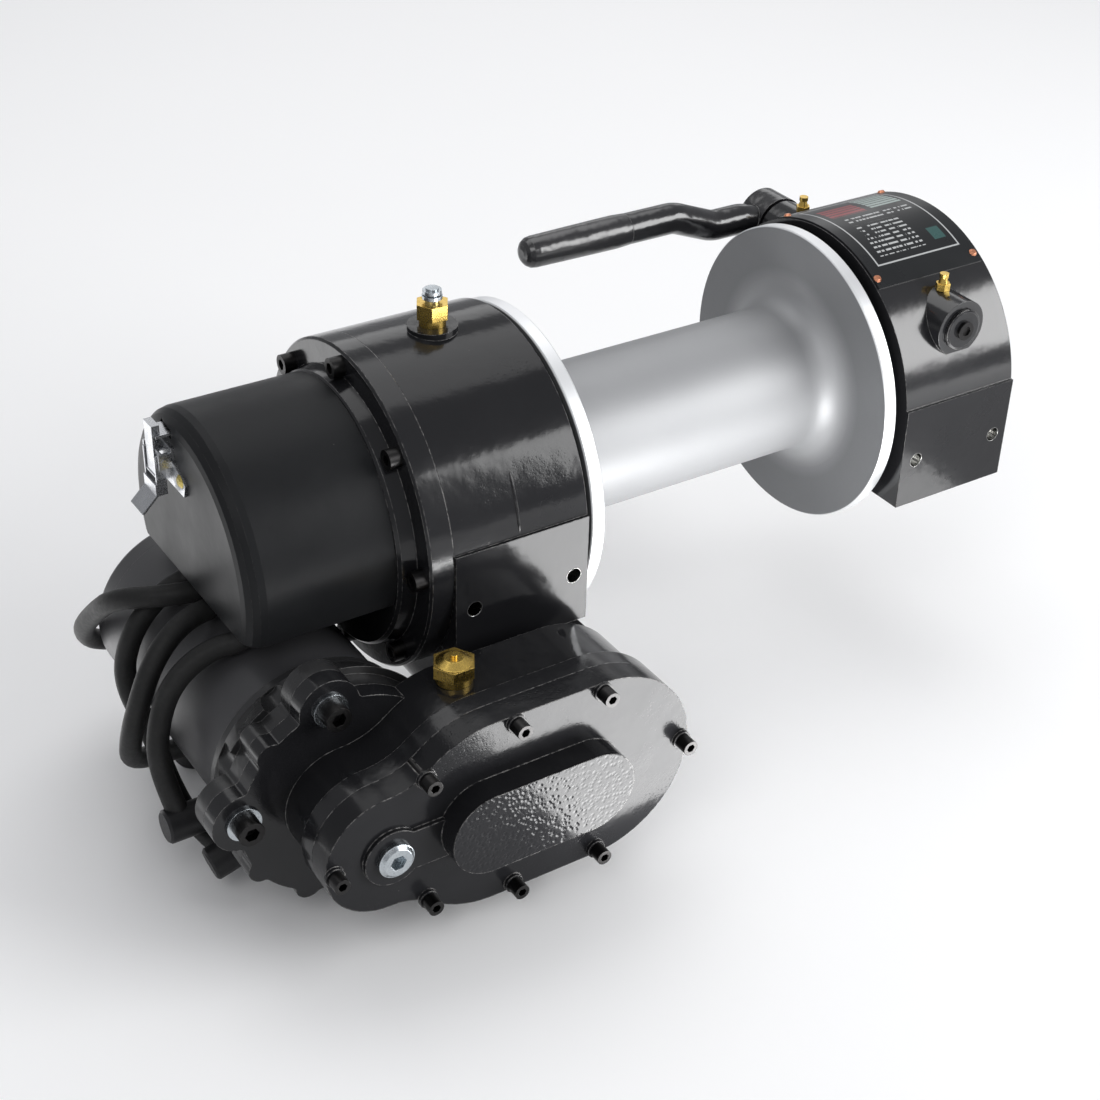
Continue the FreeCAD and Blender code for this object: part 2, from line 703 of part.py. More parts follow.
def motor_flange(name, back, front):
    """Disc with bolt ears and small cast lobes, its hollows eased."""
    blank = join(
        name + "_blank", rod(name + "_disc", "Y", back, front, 69, across=motor_axis),
        *[rod("%s_ear_%d" % (name, i), "Y", back, front, EAR_RADIUS, across=ear)
          for i, ear in enumerate(ears)],
        *[rod("%s_lobe_%d" % (name, i), "Y", back, front, 9, across=at_motor(66, a))
          for i, a in enumerate(LOBE_ANGLES)])
    doc.recompute()
    solid = blank.Shape.removeSplitter()
    hollows = [e for e in solid.Edges
               if abs(e.Length - (front - back)) < 0.01 and isinstance(e.Curve, Part.Line)
               and math.hypot(e.Vertexes[0].X - motor_x, e.Vertexes[0].Z - case_z) > 68]
    return shaped(name, solid.makeFillet(4, hollows))


case_body = join(
    "reduction_case_blank",
    extruded("case_rim", case_outline(0), -case_front.value + 13, -case_front.value),
    extruded("case_shell", case_outline(BODY_INSET), -case_back.value, -case_front.value + 13),
    motor_flange("case_flange", -case_back.value - FLANGE, -case_back.value))
FILLER_X, FILLER_Y = -247.0, -146.0
filler_seat = -worm_drop + lobe_big - BODY_INSET
keep("reduction_case", cut(
    "reduction_case_solid", case_body,
    extruded("case_cavity", case_outline(BODY_INSET + CASE_WALL), -case_back.value - 10,
             -case_front.value - 1),
    rod("case_worm_hole", "Y", -case_back - 11, -case_back + 1, WORM_JOURNAL + 1,
        across=worm_axis),
    rod("case_idler_hole", "Y", -case_back - 11, -131, IDLER_PIN, across=(idler_x, case_z)),
    rod("case_motor_hole", "Y", -case_back - 11, -case_back + 1, 24, across=motor_axis),
    rod("case_filler_tap", "Z", filler_seat - 15, filler_seat + 1, 9,
        across=(FILLER_X, FILLER_Y)),
    *[rod("case_ear_hole_%d" % i, "Y", -case_back - 13, -case_back + 1, EAR_BOLT, across=ear)
      for i, ear in enumerate(ears)]))

SCREW_SPOTS = [(output_x, 61.3), (-237.0, 61.3), (-296.5, 45.5), (-356.5, 0.0),
               (-296.5, -45.5), (-237.0, -61.3), (output_x, -61.3), (-115.7, 0.0)]
SCREW_SHANK = 2.6
COVER_INSIDE = 10.0
BOSS_LEFT, BOSS_RIGHT, BOSS_HALF = -260.0, -190.0, 28.0
LEVEL_X, LEVEL_Z = -319.0, case_z - 2
boss_front = cover_face + 17
cover_blank = join(
    "reduction_cover_blank",
    extruded("cover_slab", case_outline(0), -case_front.value, -cover_face.value),
    rod("cover_boss_right", "Y", -boss_front, -cover_face, BOSS_HALF,
        across=(BOSS_RIGHT, -worm_drop)),
    rod("cover_boss_left", "Y", -boss_front, -cover_face, BOSS_HALF,
        across=(BOSS_LEFT, -worm_drop)),
    block("cover_boss_middle", (BOSS_LEFT, -boss_front, -worm_drop - BOSS_HALF),
          (BOSS_RIGHT, -cover_face, -worm_drop + BOSS_HALF)),
    rod("cover_plug_pad", "Y", -cover_face - 3, -cover_face, 19, across=(LEVEL_X, LEVEL_Z)),
    block("cover_plug_rib", (LEVEL_X, -cover_face - 3, LEVEL_Z - 14),
          (LEVEL_X + 39, -cover_face, LEVEL_Z + 14)),
    *[rod("cover_screw_pad_%d" % i, "Y", -cover_face - 2.5, -cover_face, 6.2,
          across=(x, -worm_drop + z)) for i, (x, z) in enumerate(SCREW_SPOTS)])
keep("reduction_cover", cut(
    "reduction_cover_solid", cover_blank,
    extruded("cover_cavity", case_outline(BODY_INSET + CASE_WALL),
             -case_front.value + 1, -case_front.value - COVER_INSIDE),
    rod("cover_boss_cavity", "Y", -boss_front + 6, -cover_face + 8, BOSS_HALF - 7,
        across=(BOSS_RIGHT, -worm_drop)),
    rod("cover_level_tap", "Y", -cover_face - 5, -cover_face + 12, 7,
        across=(LEVEL_X, LEVEL_Z)),
    *[rod("cover_screw_hole_%d" % i, "Y", -cover_face - 4, -case_front + 1, SCREW_SHANK,
          across=(x, -worm_drop + z)) for i, (x, z) in enumerate(SCREW_SPOTS)]))
small_screw = cap_screw("small_cap_screw", 5, 9, SCREW_SHANK, 19.5)
keep("reduction_cover_screws", copies("reduction_cover_screw_ring", small_screw, [
    facing((0, -1, 0), (x, -cover_face.value - 2.5, case_z + z)) for x, z in SCREW_SPOTS]))

keep("filler_plug", join(
    "filler_plug_solid",
    rod("filler_thread", "Z", filler_seat - 9, filler_seat, 9, across=(FILLER_X, FILLER_Y)),
    rod("filler_collar", "Z", filler_seat, filler_seat + 5, 11.5, across=(FILLER_X, FILLER_Y)),
    hexagon("filler_hex", "Z", filler_seat + 5, filler_seat + 13, 24,
            across=(FILLER_X, FILLER_Y)),
    cone("filler_dome", "Z", filler_seat + 13, filler_seat + 16, 11, 6,
         across=(FILLER_X, FILLER_Y)),
    rod("filler_tip", "Z", filler_seat + 16, filler_seat + 18, 2.2, across=(FILLER_X, FILLER_Y))))
level_y = -cover_face - 3
level_across = (LEVEL_X, LEVEL_Z)
keep("level_plug", cut(
    "level_plug_solid",
    join("level_plug_blank",
         rod("level_thread", "Y", level_y, level_y + 9, 7, across=level_across),
         rod("level_flange", "Y", level_y - 3, level_y, 11.5, across=level_across),
         cone("level_crown", "Y", level_y - 5, level_y - 3, 9, 11, across=level_across)),
    hexagon("level_socket", "Y", level_y - 6, level_y + 2, 9, across=level_across)))

# ================================================================ motor
SHELL_FRONT, SHELL_BACK, REAR_END = -93.0, 84.0, 98.0
SHELL_WALL = 5.0
BELL_FRONT = -case_back.value
BELL_RIM, BELL_WIDE = 67.0, 78.0
POCKETS = (115.0, 154.0, 193.0, 228.0, 262.0, 312.0)
shell_inside = motor_radius - SHELL_WALL
shell_tube = turned("motor_frame_tube", "Y", tube_profile(
    SHELL_FRONT, SHELL_BACK, shell_inside, motor_radius), across=motor_axis)
end_disc = turned("commutator_end_cap_disc", "Y", [
    (SHELL_BACK, 22), (SHELL_BACK, motor_radius), (REAR_END - 3, motor_radius),
    (REAR_END - 0.9, motor_radius - 0.9), (REAR_END, motor_radius - 3), (REAR_END, 0),
    (REAR_END - 4, 0), (REAR_END - 4, 16), (SHELL_BACK - 3, 16), (SHELL_BACK - 3, 22)],
    across=motor_axis)

# terminals: three studs on the shell and one on the end cap, each in a rubber boot
STUD_RADIUS, BOOT_RADIUS = 4.0, 12.0
BOOT_LENGTH, LONG_BOOT = 25.0, 31.0
# Each place is where the boot's mouth stands and which way it points.
stud_places = [
    facing((-1, 0, 0), (-373, -62, -150)),
    facing((-0.966, 0, -0.259), (-355, -82, -166)),
    facing((-0.284, 0, -0.959), (at_motor(72, 253.5)[0], 44, at_motor(72, 253.5)[1])),
    facing((0, 1, 0), (-345, REAR_END + 9.5, -134))]
stud = rod("stud_solid", "Z", -16, 17, STUD_RADIUS)
rear_stud = rod("rear_stud_solid", "Z", -12, 17, STUD_RADIUS)
shell_studs = copies("shell_studs", stud, stud_places[:3])
end_cap_stud = copies("end_cap_stud", rear_stud, stud_places[3:])


def rubber_boot(name, length):
    """Cap with a bead round its mouth and a pocket for the stud."""
    return cut(name,
               join(name + "_form", rod(name + "_sleeve", "Z", 0, length - 1.5, BOOT_RADIUS - 1),
                    cone(name + "_crown", "Z", length - 1.5, length, BOOT_RADIUS - 1,
                         BOOT_RADIUS - 2.5),
                    rod(name + "_bead", "Z", 0, 4, BOOT_RADIUS)),
               rod(name + "_pocket", "Z", -1, 17, STUD_RADIUS))


keep("terminal_studs", group("stud_set", shell_studs, end_cap_stud))
keep("terminal_boots", group(
    "boot_set",
    copies("front_boots", rubber_boot("long_boot", LONG_BOOT), stud_places[:2]),
    copies("rear_boots", rubber_boot("short_boot", BOOT_LENGTH), stud_places[2:])))
keep("motor_frame", cut("motor_frame_solid", shell_tube, shell_studs))
keep("commutator_end_cap", cut("commutator_end_cap_solid", end_disc, end_cap_stud))

bell_body = join(
    "drive_end_bell_blank",
    motor_flange("bell_flange", BELL_FRONT, BELL_FRONT + FLANGE),
    cone("bell_cone", "Y", BELL_FRONT + FLANGE, SHELL_FRONT - 5, BELL_WIDE - 4, BELL_RIM,
         across=motor_axis),
    rod("bell_rim", "Y", SHELL_FRONT - 5, SHELL_FRONT, BELL_RIM, across=motor_axis))
keep("drive_end_bell", cut(
    "drive_end_bell_solid", bell_body,
    rod("bell_cavity", "Y", SHELL_FRONT - 14, SHELL_FRONT + 1, shell_inside, across=motor_axis),
    rod("bell_shaft_hole", "Y", BELL_FRONT - 1, SHELL_FRONT, SHAFT_MOTOR + 1,
        across=motor_axis),
    rod("bell_bearing_seat", "Y", BELL_FRONT + 8, SHELL_FRONT - 13, 22, across=motor_axis),
    *[rod("bell_pocket_%d" % i, "Y", BELL_FRONT + FLANGE, SHELL_FRONT - 6, 9,
          across=at_motor(74, a)) for i, a in enumerate(POCKETS)],
    *[rod("bell_ear_tap_%d" % i, "Y", BELL_FRONT - 1, BELL_FRONT + FLANGE - 2, EAR_BOLT,
          across=ear) for i, ear in enumerate(ears)]))

keep("motor_bearings", group(
    "motor_bearing_pair",
    ball_bearing("motor_bearing_drive", BELL_FRONT + 9, BELL_FRONT + 21,
                 SHAFT_MOTOR + running, 22, motor_axis),
    turned("motor_bearing_rear", "Y", tube_profile(
        SHELL_BACK - 3, REAR_END - 4, SHAFT_MOTOR + running, 16), across=motor_axis)))

keep("armature_shaft", turned("armature_shaft_solid", "Y", [
    (GEAR_FRONT - 2, 0), (GEAR_FRONT - 2, SHAFT_MOTOR - 1), (GEAR_FRONT - 1, SHAFT_MOTOR),
    (REAR_END - 5, SHAFT_MOTOR), (REAR_END - 5, 0)], across=motor_axis))
SLOTS = 20
CORE_RADIUS = 35.0
CORE_FRONT, CORE_BACK = -72.0, 6.0
FIELD_FRONT, FIELD_BACK = -76.0, 10.0
core_slots = [
    rod("core_slot_%d" % i, "Y", CORE_FRONT - 1, CORE_BACK + 1, 2.4,
        across=at_motor(CORE_RADIUS, 360 * i / SLOTS)) for i in range(SLOTS)]
keep("armature_core", cut(
    "armature_core_solid",
    rod("core_stack", "Y", CORE_FRONT, CORE_BACK, CORE_RADIUS, across=motor_axis),
    rod("core_bore", "Y", CORE_FRONT - 1, CORE_BACK + 1, SHAFT_MOTOR, across=motor_axis),
    *core_slots))
keep("commutator", turned("commutator_drum", "Y", [
    (22, SHAFT_MOTOR), (22, 27), (26, 27), (26, 24), (62, 24), (62, SHAFT_MOTOR)],
    across=motor_axis))


def turns_about_motor(angles):
    centre = Vector(motor_x, 0, case_z)
    return [Placement(Vector(), Rotation(Vector(0, 1, 0), -a), centre) for a in angles]


def field_ring(name, grow, inner, outer, sector):
    """Slice of a ring about the motor axis, centred on the motor's +X side."""
    slice_ = rod(name + "_slice", "Y", FIELD_FRONT - grow, FIELD_BACK + grow, outer,
                 across=motor_axis, sector=sector, turn=90 - sector / 2)
    return cut(name, slice_, rod(name + "_inside", "Y", FIELD_FRONT - grow - 1,
                                 FIELD_BACK + grow + 1, inner, across=motor_axis))


POLE_ANGLES = (45, 135, 225, 315)
SHOE_INSIDE, SHOE_OUTSIDE, COIL_OUTSIDE = CORE_RADIUS + 1, CORE_RADIUS + 6, CORE_RADIUS + 15
pole = join("pole_solid",
            field_ring("pole_neck", 0, SHOE_INSIDE, shell_inside, 26),
            field_ring("pole_shoe", 0, SHOE_INSIDE, SHOE_OUTSIDE, 58))
keep("pole_shoes", copies("pole_set", pole, turns_about_motor(POLE_ANGLES)))
coil = cut("coil_solid",
           field_ring("coil_block", 6, SHOE_OUTSIDE + 1, COIL_OUTSIDE, 56),
           field_ring("coil_window", 1, SHOE_OUTSIDE, COIL_OUTSIDE + 1, 28))
keep("field_coils", copies("coil_set", coil, turns_about_motor(POLE_ANGLES)))
brush = block("brush_solid", (motor_x + 24.1, 34, case_z - 6), (motor_x + 42, 52, case_z + 6))
keep("brushes", copies("brush_set", brush, turns_about_motor((0, 90, 180, 270))))

motor_screw = cap_screw("motor_cap_screw", 8, 10, EAR_BOLT, 22)
WASHER = 2.0
ear_face = -case_back.value - FLANGE
keep("motor_bolts", copies("motor_bolt_set", motor_screw, [
    facing((0, -1, 0), (ear[0], ear_face - WASHER, ear[1])) for ear in ears]))
keep("motor_washers", group("motor_washer_set", *[
    turned("motor_washer_%d" % i, "Y", tube_profile(
        ear_face - WASHER, ear_face, EAR_BOLT, 11), across=ear)
    for i, ear in enumerate(ears)]))

# ================================================================ control box
box_right = boss_face
TRAY = 3.0
box_centre = 3.0


def d_solid(name, start, end, radius, floor_drop):
    """D section along X: a round top cut off flat at the bottom."""
    return shared(name, rod(name + "_round", "X", start, end, radius, across=(0, box_centre)),
                  block(name + "_above", (size(start) - 1, -100, -size(floor_drop)),
                        (size(end) + 1, 100, 100)))


cover_outer = turned("control_cover_form", "X", [
    (-box_left, 0), (-box_left, box_radius - 12), (-box_left + 1, box_radius - 7.5),
    (-box_left + 3.6, box_radius - 3.6), (-box_left + 7.5, box_radius - 1),
    (-box_left + 12, box_radius), (-box_right, box_radius), (-box_right, 0)],
    across=(0, box_centre))
cover_inner = turned("control_cover_room", "X", [
    (-box_left + box_wall, 0), (-box_left + box_wall, box_radius - 13),
    (-box_left + 6, box_radius - 6), (-box_left + 13, box_radius - box_wall),
    (-box_right + 1, box_radius - box_wall), (-box_right + 1, 0)], across=(0, box_centre))
KEEPER_Y, KEEPER_Z = 21.0, 75.0
control_shell = cut(
    "control_shell", cover_outer, cover_inner,
    block("control_shell_open", (-box_left - 1, -100, -120), (-box_right + 2, 100, -box_floor)),
    block("keeper_slot", (-box_left - 1, KEEPER_Y - 9, KEEPER_Z - 3),
          (-box_left + 7, KEEPER_Y + 9, KEEPER_Z + 3)))
keep("control_cover", control_shell)

# Each lead leaves the tray's floor straight down and turns out over the motor at once.
LEAD_TOP, LEAD_TURN = -12.0, -37.0
LEAD_X = -333.0
LEADS = {
    "cable_a": (8.0, [(-360, 10, -35), (-387, 36, -43), (-389, 70, -73), (-391, 99, -104),
                      (-376, 114, -129), (-351, 115, -134)]),
    "cable_b": (-12.0, [(-360, -15, -36), (-386, -23, -52), (-402, -27, -85),
                        (-404, -14, -118), (-397, 8, -148), (-372, 30, -170),
                        (-347, 42, -181)]),
    "cable_c": (-55.0, [(-359, -44, -42), (-385, -43, -60), (-399, -50, -88),
                        (-399, -52, -118), (-393, -60, -147)]),
    "cable_d": (28.0, [(-359, 28, -43), (-382, 27, -66), (-391, 26, -100), (-382, 3, -131),
                       (-387, -24, -140), (-380, -44, -170), (-370, -75, -175)]),
}
CABLE_EXITS = {name: (LEAD_X, y) for name, (y, _) in LEADS.items()}
tray_inner = box_radius - box_wall - 0.5
tray = join(
    "control_tray_blank",
    d_solid("tray_back", -box_right - TRAY, -box_right, tray_inner, box_floor),
    block("tray_floor", (-box_left + 12.5, -78, -box_floor), (-box_right, 78, -box_floor + TRAY)),
    block("tray_tongue", (-box_left + box_wall + 0.5, -68, -box_floor),
          (-box_left + 12.5, 68, -box_floor + TRAY)),
    block("keeper_post_low", (-box_left + 3.3, KEEPER_Y - 8, -box_floor),
          (-box_left + 5.3, KEEPER_Y + 8, KEEPER_Z - 13)),
    block("keeper_post_step", (-box_left + 3.3, KEEPER_Y - 8, KEEPER_Z - 15),
          (-box_left + 10.5, KEEPER_Y + 8, KEEPER_Z - 13)),
    block("keeper_post_high", (-box_left + 8.5, KEEPER_Y - 8, KEEPER_Z - 15),
          (-box_left + 10.5, KEEPER_Y + 8, KEEPER_Z - 1)))
GROMMET_NECK = 8.5
keep("control_tray", cut(
    "control_tray_solid", tray,
    *[rod("tray_hole_" + name, "Z", -box_floor - 1, -box_floor + TRAY + 1, GROMMET_NECK,
          across=spot) for name, spot in CABLE_EXITS.items()]))
keep("cable_grommets", group("grommet_set", *[
    cut("grommet_" + name,
        join("grommet_blank_" + name,
             rod("grommet_lip_" + name, "Z", -box_floor - 3, -box_floor, GROMMET_NECK + 1.5,
                 across=spot),
             rod("grommet_neck_" + name, "Z", -box_floor, -box_floor + TRAY, GROMMET_NECK,
                 across=spot),
             rod("grommet_top_" + name, "Z", -box_floor + TRAY, -box_floor + TRAY + 2.5,
                 GROMMET_NECK + 1.5, across=spot)),
        rod("grommet_hole_" + name, "Z", -box_floor - 4, -box_floor + TRAY + 4, cable_radius,
            across=spot)) for name, spot in CABLE_EXITS.items()]))

CONTACTOR_RADIUS, CONTACTOR_LONG = 24.0, 62.0


def contactor(name, y, z):
    """Solenoid contactor: steel can with a cap and two threaded posts."""
    start = -box_right - TRAY
    can = rod(name + "_can", "X", start - CONTACTOR_LONG, start, CONTACTOR_RADIUS, across=(y, z))
    cap = rod(name + "_cap", "X", start - CONTACTOR_LONG - 8, start - CONTACTOR_LONG,
              CONTACTOR_RADIUS - 3, across=(y, z))
    posts = [rod("%s_post_%d" % (name, i), "X", start - CONTACTOR_LONG - 18,
                 start - CONTACTOR_LONG - 7, 4, across=(y + side, z))
             for i, side in enumerate((-12, 12))]
    return join(name, can, cap, *posts)


keep("contactors", group("contactor_set",
                         contactor("contactor_front", -46, 8),
                         contactor("contactor_middle", 0, 44),
                         contactor("contactor_rear", 46, 8)))

# latch on the cover's end face: keeper, base, lever and loop
face_x = -box_left
keep("latch_keeper", block("keeper_tongue", (face_x - 9, KEEPER_Y - 8, KEEPER_Z - 1),
                           (face_x + 10.5, KEEPER_Y + 8, KEEPER_Z + 1)))
PIVOT_X, PIVOT_Z = face_x.value - 6.5, KEEPER_Z - 15
PIVOT_PIN, LOOP_PIN = 2.0, 1.55
RIVET_SPREAD, RIVET_Z = 23.0, PIVOT_Z - 9
RIVETS = [(KEEPER_Y + side * RIVET_SPREAD, RIVET_Z) for side in (-1, 1)]
PLATE_CORNERS = ((-12, 8), (12, 8), (12, -1), (30, -9), (27, -18), (-27, -18), (-30, -9), (-12, -1))
plate_wire = Part.makePolygon([Vector(face_x.value, KEEPER_Y + across, PIVOT_Z + up)
                               for across, up in PLATE_CORNERS + PLATE_CORNERS[:1]])
base_plate = join(
    "latch_base_plate",
    shaped("latch_plate", Part.Face(plate_wire).extrude(Vector(-2, 0, 0))),
    *[block("latch_cheek_%d" % i, (face_x - 10, KEEPER_Y + side, PIVOT_Z - 5),
            (face_x - 2, KEEPER_Y + side + 2, PIVOT_Z + 5)) for i, side in enumerate((-12, 10))])
keep("latch_base", cut(
    "latch_base_solid", base_plate,
    rod("latch_pin_hole", "Y", KEEPER_Y - 13, KEEPER_Y + 13, PIVOT_PIN + running,
        across=(PIVOT_X, PIVOT_Z)),
    *[rod("latch_rivet_hole_%d" % i, "X", face_x - 3, face_x + 1, 2.5, across=spot)
      for i, spot in enumerate(RIVETS)]))
keep("latch_rivets", group("latch_rivet_set", *[
    join("latch_rivet_%d" % i,
         rod("rivet_shank_%d" % i, "X", face_x - 2, face_x, 2.5, across=spot),
         cone("rivet_head_%d" % i, "X", face_x - 3.5, face_x - 2, 2.5, 4.5, across=spot))
    for i, spot in enumerate(RIVETS)]))
# The lever's web is one strip bent outwards at its lower end into the thumb tab.
LOOP_X, LOOP_Z = face_x.value - 9.5, PIVOT_Z - 12
WEB_X, WEB_TOP, WEB_BEND, TAB_DROP = face_x.value - 11, PIVOT_Z - 16, PIVOT_Z - 24, 10.0
STRIP = 1.5
web_wire = Part.makePolygon([Vector(x, KEEPER_Y - 9, z) for x, z in (
    (WEB_X, WEB_TOP), (WEB_X, WEB_BEND), (WEB_X - TAB_DROP, WEB_BEND - TAB_DROP),
    (WEB_X - TAB_DROP - STRIP, WEB_BEND - TAB_DROP + STRIP / 2),
    (WEB_X - STRIP, WEB_BEND + STRIP / 2), (WEB_X - STRIP, WEB_TOP), (WEB_X, WEB_TOP))])
lever_plate = join(
    "latch_lever_plate",
    shaped("lever_web", Part.Face(web_wire).extrude(Vector(0, 18, 0))),
    *[block("lever_side_%d" % i, (face_x - 11.5, KEEPER_Y + side, PIVOT_Z - 24),
            (face_x - 5, KEEPER_Y + side + 1.5, PIVOT_Z + 3)) for i, side in enumerate((-9, 7.5))])
keep("latch_lever", join(
    "latch_lever_solid",
    cut("latch_lever_cut", lever_plate,
        rod("loop_pin_hole", "Y", KEEPER_Y - 10, KEEPER_Y + 10, LOOP_PIN + running,
            across=(LOOP_X, LOOP_Z))),
    rod("pivot_pin", "Y", KEEPER_Y - 12.5, KEEPER_Y + 12.5, PIVOT_PIN,
        across=(PIVOT_X, PIVOT_Z))))
keep("latch_loop", join(
    "latch_loop_solid",
    rod("loop_pin", "Y", KEEPER_Y - 9.5, KEEPER_Y + 9.5, LOOP_PIN, across=(LOOP_X, LOOP_Z)),
    block("loop_stem", (face_x - 10.5, KEEPER_Y - 6, LOOP_Z),
          (face_x - 9.3, KEEPER_Y + 6, KEEPER_Z + 7)),
    block("loop_hook", (face_x - 10.5, KEEPER_Y - 6, KEEPER_Z + 5.8),
          (face_x - 5.5, KEEPER_Y + 6, KEEPER_Z + 7)),
    block("loop_catch", (face_x - 6.7, KEEPER_Y - 6, KEEPER_Z + 1.2),
          (face_x - 5.5, KEEPER_Y + 6, KEEPER_Z + 7))))

# ================================================================ clutch housing, right
right_pad_centre = (clutch_left + clutch_right) / 2 + 0.6
CLUTCH_WALL = 12.0
OUTSIDE = 120.0
clutch_blank = cut(
    "clutch_blank",
    join("clutch_form",
         rod("clutch_round", "X", clutch_left, clutch_right, housing_radius),
         block("clutch_pads", (clutch_left, -pad_front, -base_depth),
               (clutch_right, pad_front, pad_top)),
         rod("clutch_bosses", "Y", -boss_reach, boss_reach, cross_boss,
             across=(cross_line, cross_height))),
    block("clutch_below", (clutch_left - 1, -OUTSIDE, -OUTSIDE),
          (clutch_right + 1, OUTSIDE, -base_depth)),
    cut("clutch_cavity",
        rod("clutch_cavity_round", "X", clutch_left - 1, clutch_right - 10,
            housing_radius - CLUTCH_WALL),
        block("clutch_floor", (clutch_left - 2, -OUTSIDE, -OUTSIDE),
              (clutch_right, OUTSIDE, -base_depth + 10))))
clutch_with_hub = join("clutch_with_hub", clutch_blank,
                       rod("clutch_hub", "X", 208, clutch_right - 9, 34))
RIVET_ANGLES = (68.0, 122.0)
RIVET_ENDS = (136.0, 223.0)
RIVET_SHANK = 1.6
GREASE_Y = 76.0
rivet_holes = [
    facing((0, *on_circle(1, a)), (x, *on_circle(housing_radius.value + 1, a)))
    for a in RIVET_ANGLES for x in RIVET_ENDS]
rivet_tool = rod("rivet_tool", "Z", -6, 1, RIVET_SHANK)
keep("clutch_housing", cut(
    "clutch_housing_solid", clutch_with_hub,
    rod("clutch_end_bore", "X", 200, shaft_end + 1, 22),
    rod("cross_bore", "Y", -boss_reach - 1, boss_reach + 1, cross_radius + running,
        across=(cross_line, cross_height)),
    rod("grease_tap_front", "Z", cross_height, cross_height + cross_boss + 1, 3,
        across=(cross_line, -GREASE_Y)),
    rod("grease_tap_rear", "Z", cross_height, cross_height + cross_boss + 1, 3,
        across=(cross_line, GREASE_Y)),
    copies("rivet_hole_set", rivet_tool, rivet_holes),
    *pad_holes("right_pad", right_pad_centre, 13)))

PLATE, PLATE_START, PLATE_SECTOR = 0.9, 64, 62
plate_band = cut(
    "plate_band",
    rod("plate_outer", "X", clutch_left + 1.5, clutch_right - 2, housing_radius + PLATE,
        sector=PLATE_SECTOR),
    rod("plate_inner", "X", clutch_left, clutch_right, housing_radius))
plate_turned = copies("plate_turned", plate_band,
                      [Placement(Vector(), Rotation(Vector(1, 0, 0), PLATE_START + 90))])
keep("nameplate", cut("nameplate_solid", plate_turned,
                      copies("plate_rivet_holes", rivet_tool, rivet_holes)))
rivet = join("plate_rivet", rod("plate_rivet_shank", "Z", -5, 0, RIVET_SHANK),
             cone("plate_rivet_head", "Z", PLATE - 1, PLATE + 0.6, 3, 1.8))
keep("nameplate_rivets", copies("plate_rivet_set", rivet, rivet_holes))

# ================================================================ clutch: jaw, fork, shaft, lever
JAW_FACE, JAW_END = 142.0, 188.0
GROOVE_START, GROOVE_END, GROOVE_RADIUS = 166.0, 179.0, 34.0
jaw_body = turned("jaw_body", "X", [
    (JAW_FACE, 15), (JAW_FACE, DOG_OUTER), (GROOVE_START, DOG_OUTER),
    (GROOVE_START, GROOVE_RADIUS), (GROOVE_END, GROOVE_RADIUS), (GROOVE_END, DOG_OUTER),
    (JAW_END, DOG_OUTER), (JAW_END, 15)])
keep("clutch_jaw", cut(
    "clutch_jaw_solid",
    join("clutch_jaw_blank", jaw_body, dogs("jaw_dogs", flange_end + 2, JAW_FACE, 60)),
    hexagon("jaw_hex_bore", "X", JAW_FACE - 1, JAW_END + 1, HEX_FLATS + 0.16)))

FORK_PIN, FORK_REACH = 6.0, 47.0
FORK_OUTER = 57.0
fork_middle = (GROOVE_START + GROOVE_END) / 2
fork_blank = join(
    "fork_blank",
    rod("fork_hub", "Y", -20, 20, 17, across=(cross_line, cross_height)),
    block("fork_bridge", (fork_middle - 4, -FORK_OUTER, cross_height - 13),
          (fork_middle + 14, FORK_OUTER, cross_height + 8)),
    *[block("fork_arm_%d" % i, (fork_middle - 4, low, -7), (fork_middle + 4, high,
                                                           cross_height - 12))
      for i, (low, high) in enumerate(((-FORK_OUTER, -FORK_REACH), (FORK_REACH, FORK_OUTER)))],
    rod("fork_pin_front", "Y", -FORK_OUTER + 2, -36, FORK_PIN, across=(fork_middle, 0)),
    rod("fork_pin_rear", "Y", 36, FORK_OUTER - 2, FORK_PIN, across=(fork_middle, 0)))
keep("clutch_fork", cut(
    "clutch_fork_solid", fork_blank,
    rod("fork_bore", "Y", -30, 30, cross_radius, across=(cross_line, cross_height)),
    rod("fork_window_front", "Y", -60, -18, cross_radius + 0.5,
        across=(cross_line, cross_height)),
    rod("fork_window_rear", "Y", 18, 60, cross_radius + 0.5,
        across=(cross_line, cross_height))))

cross_axis = (cross_line, cross_height)
LEVER_HUB_END = boss_reach + 26
END_WASHER = 2.5
keep("cross_shaft", cut(
    "cross_shaft_solid",
    rod("cross_shaft_rod", "Y", -boss_reach - 0.5, LEVER_HUB_END, cross_radius,
        across=cross_axis),
    rod("cross_shaft_tap", "Y", -boss_reach - 1, -boss_reach + 18, 4, across=cross_axis)))
keep("shaft_washer", turned("shaft_washer_ring", "Y", [
    (-boss_reach - 0.5 - END_WASHER, 4), (-boss_reach - 0.5 - END_WASHER, 13),
    (-boss_reach - END_WASHER, 14.5), (-boss_reach - 0.5, 14.5), (-boss_reach - 0.5, 4)],
    across=cross_axis))
end_screw = cap_screw("end_cap_screw", 6.5, 2.6, 4, 16)
keep("shaft_screw", copies("shaft_screw_set", end_screw, [
    facing((0, -1, 0), (cross_line.value, -boss_reach.value - 0.5 - END_WASHER,
                        cross_height.value))]))


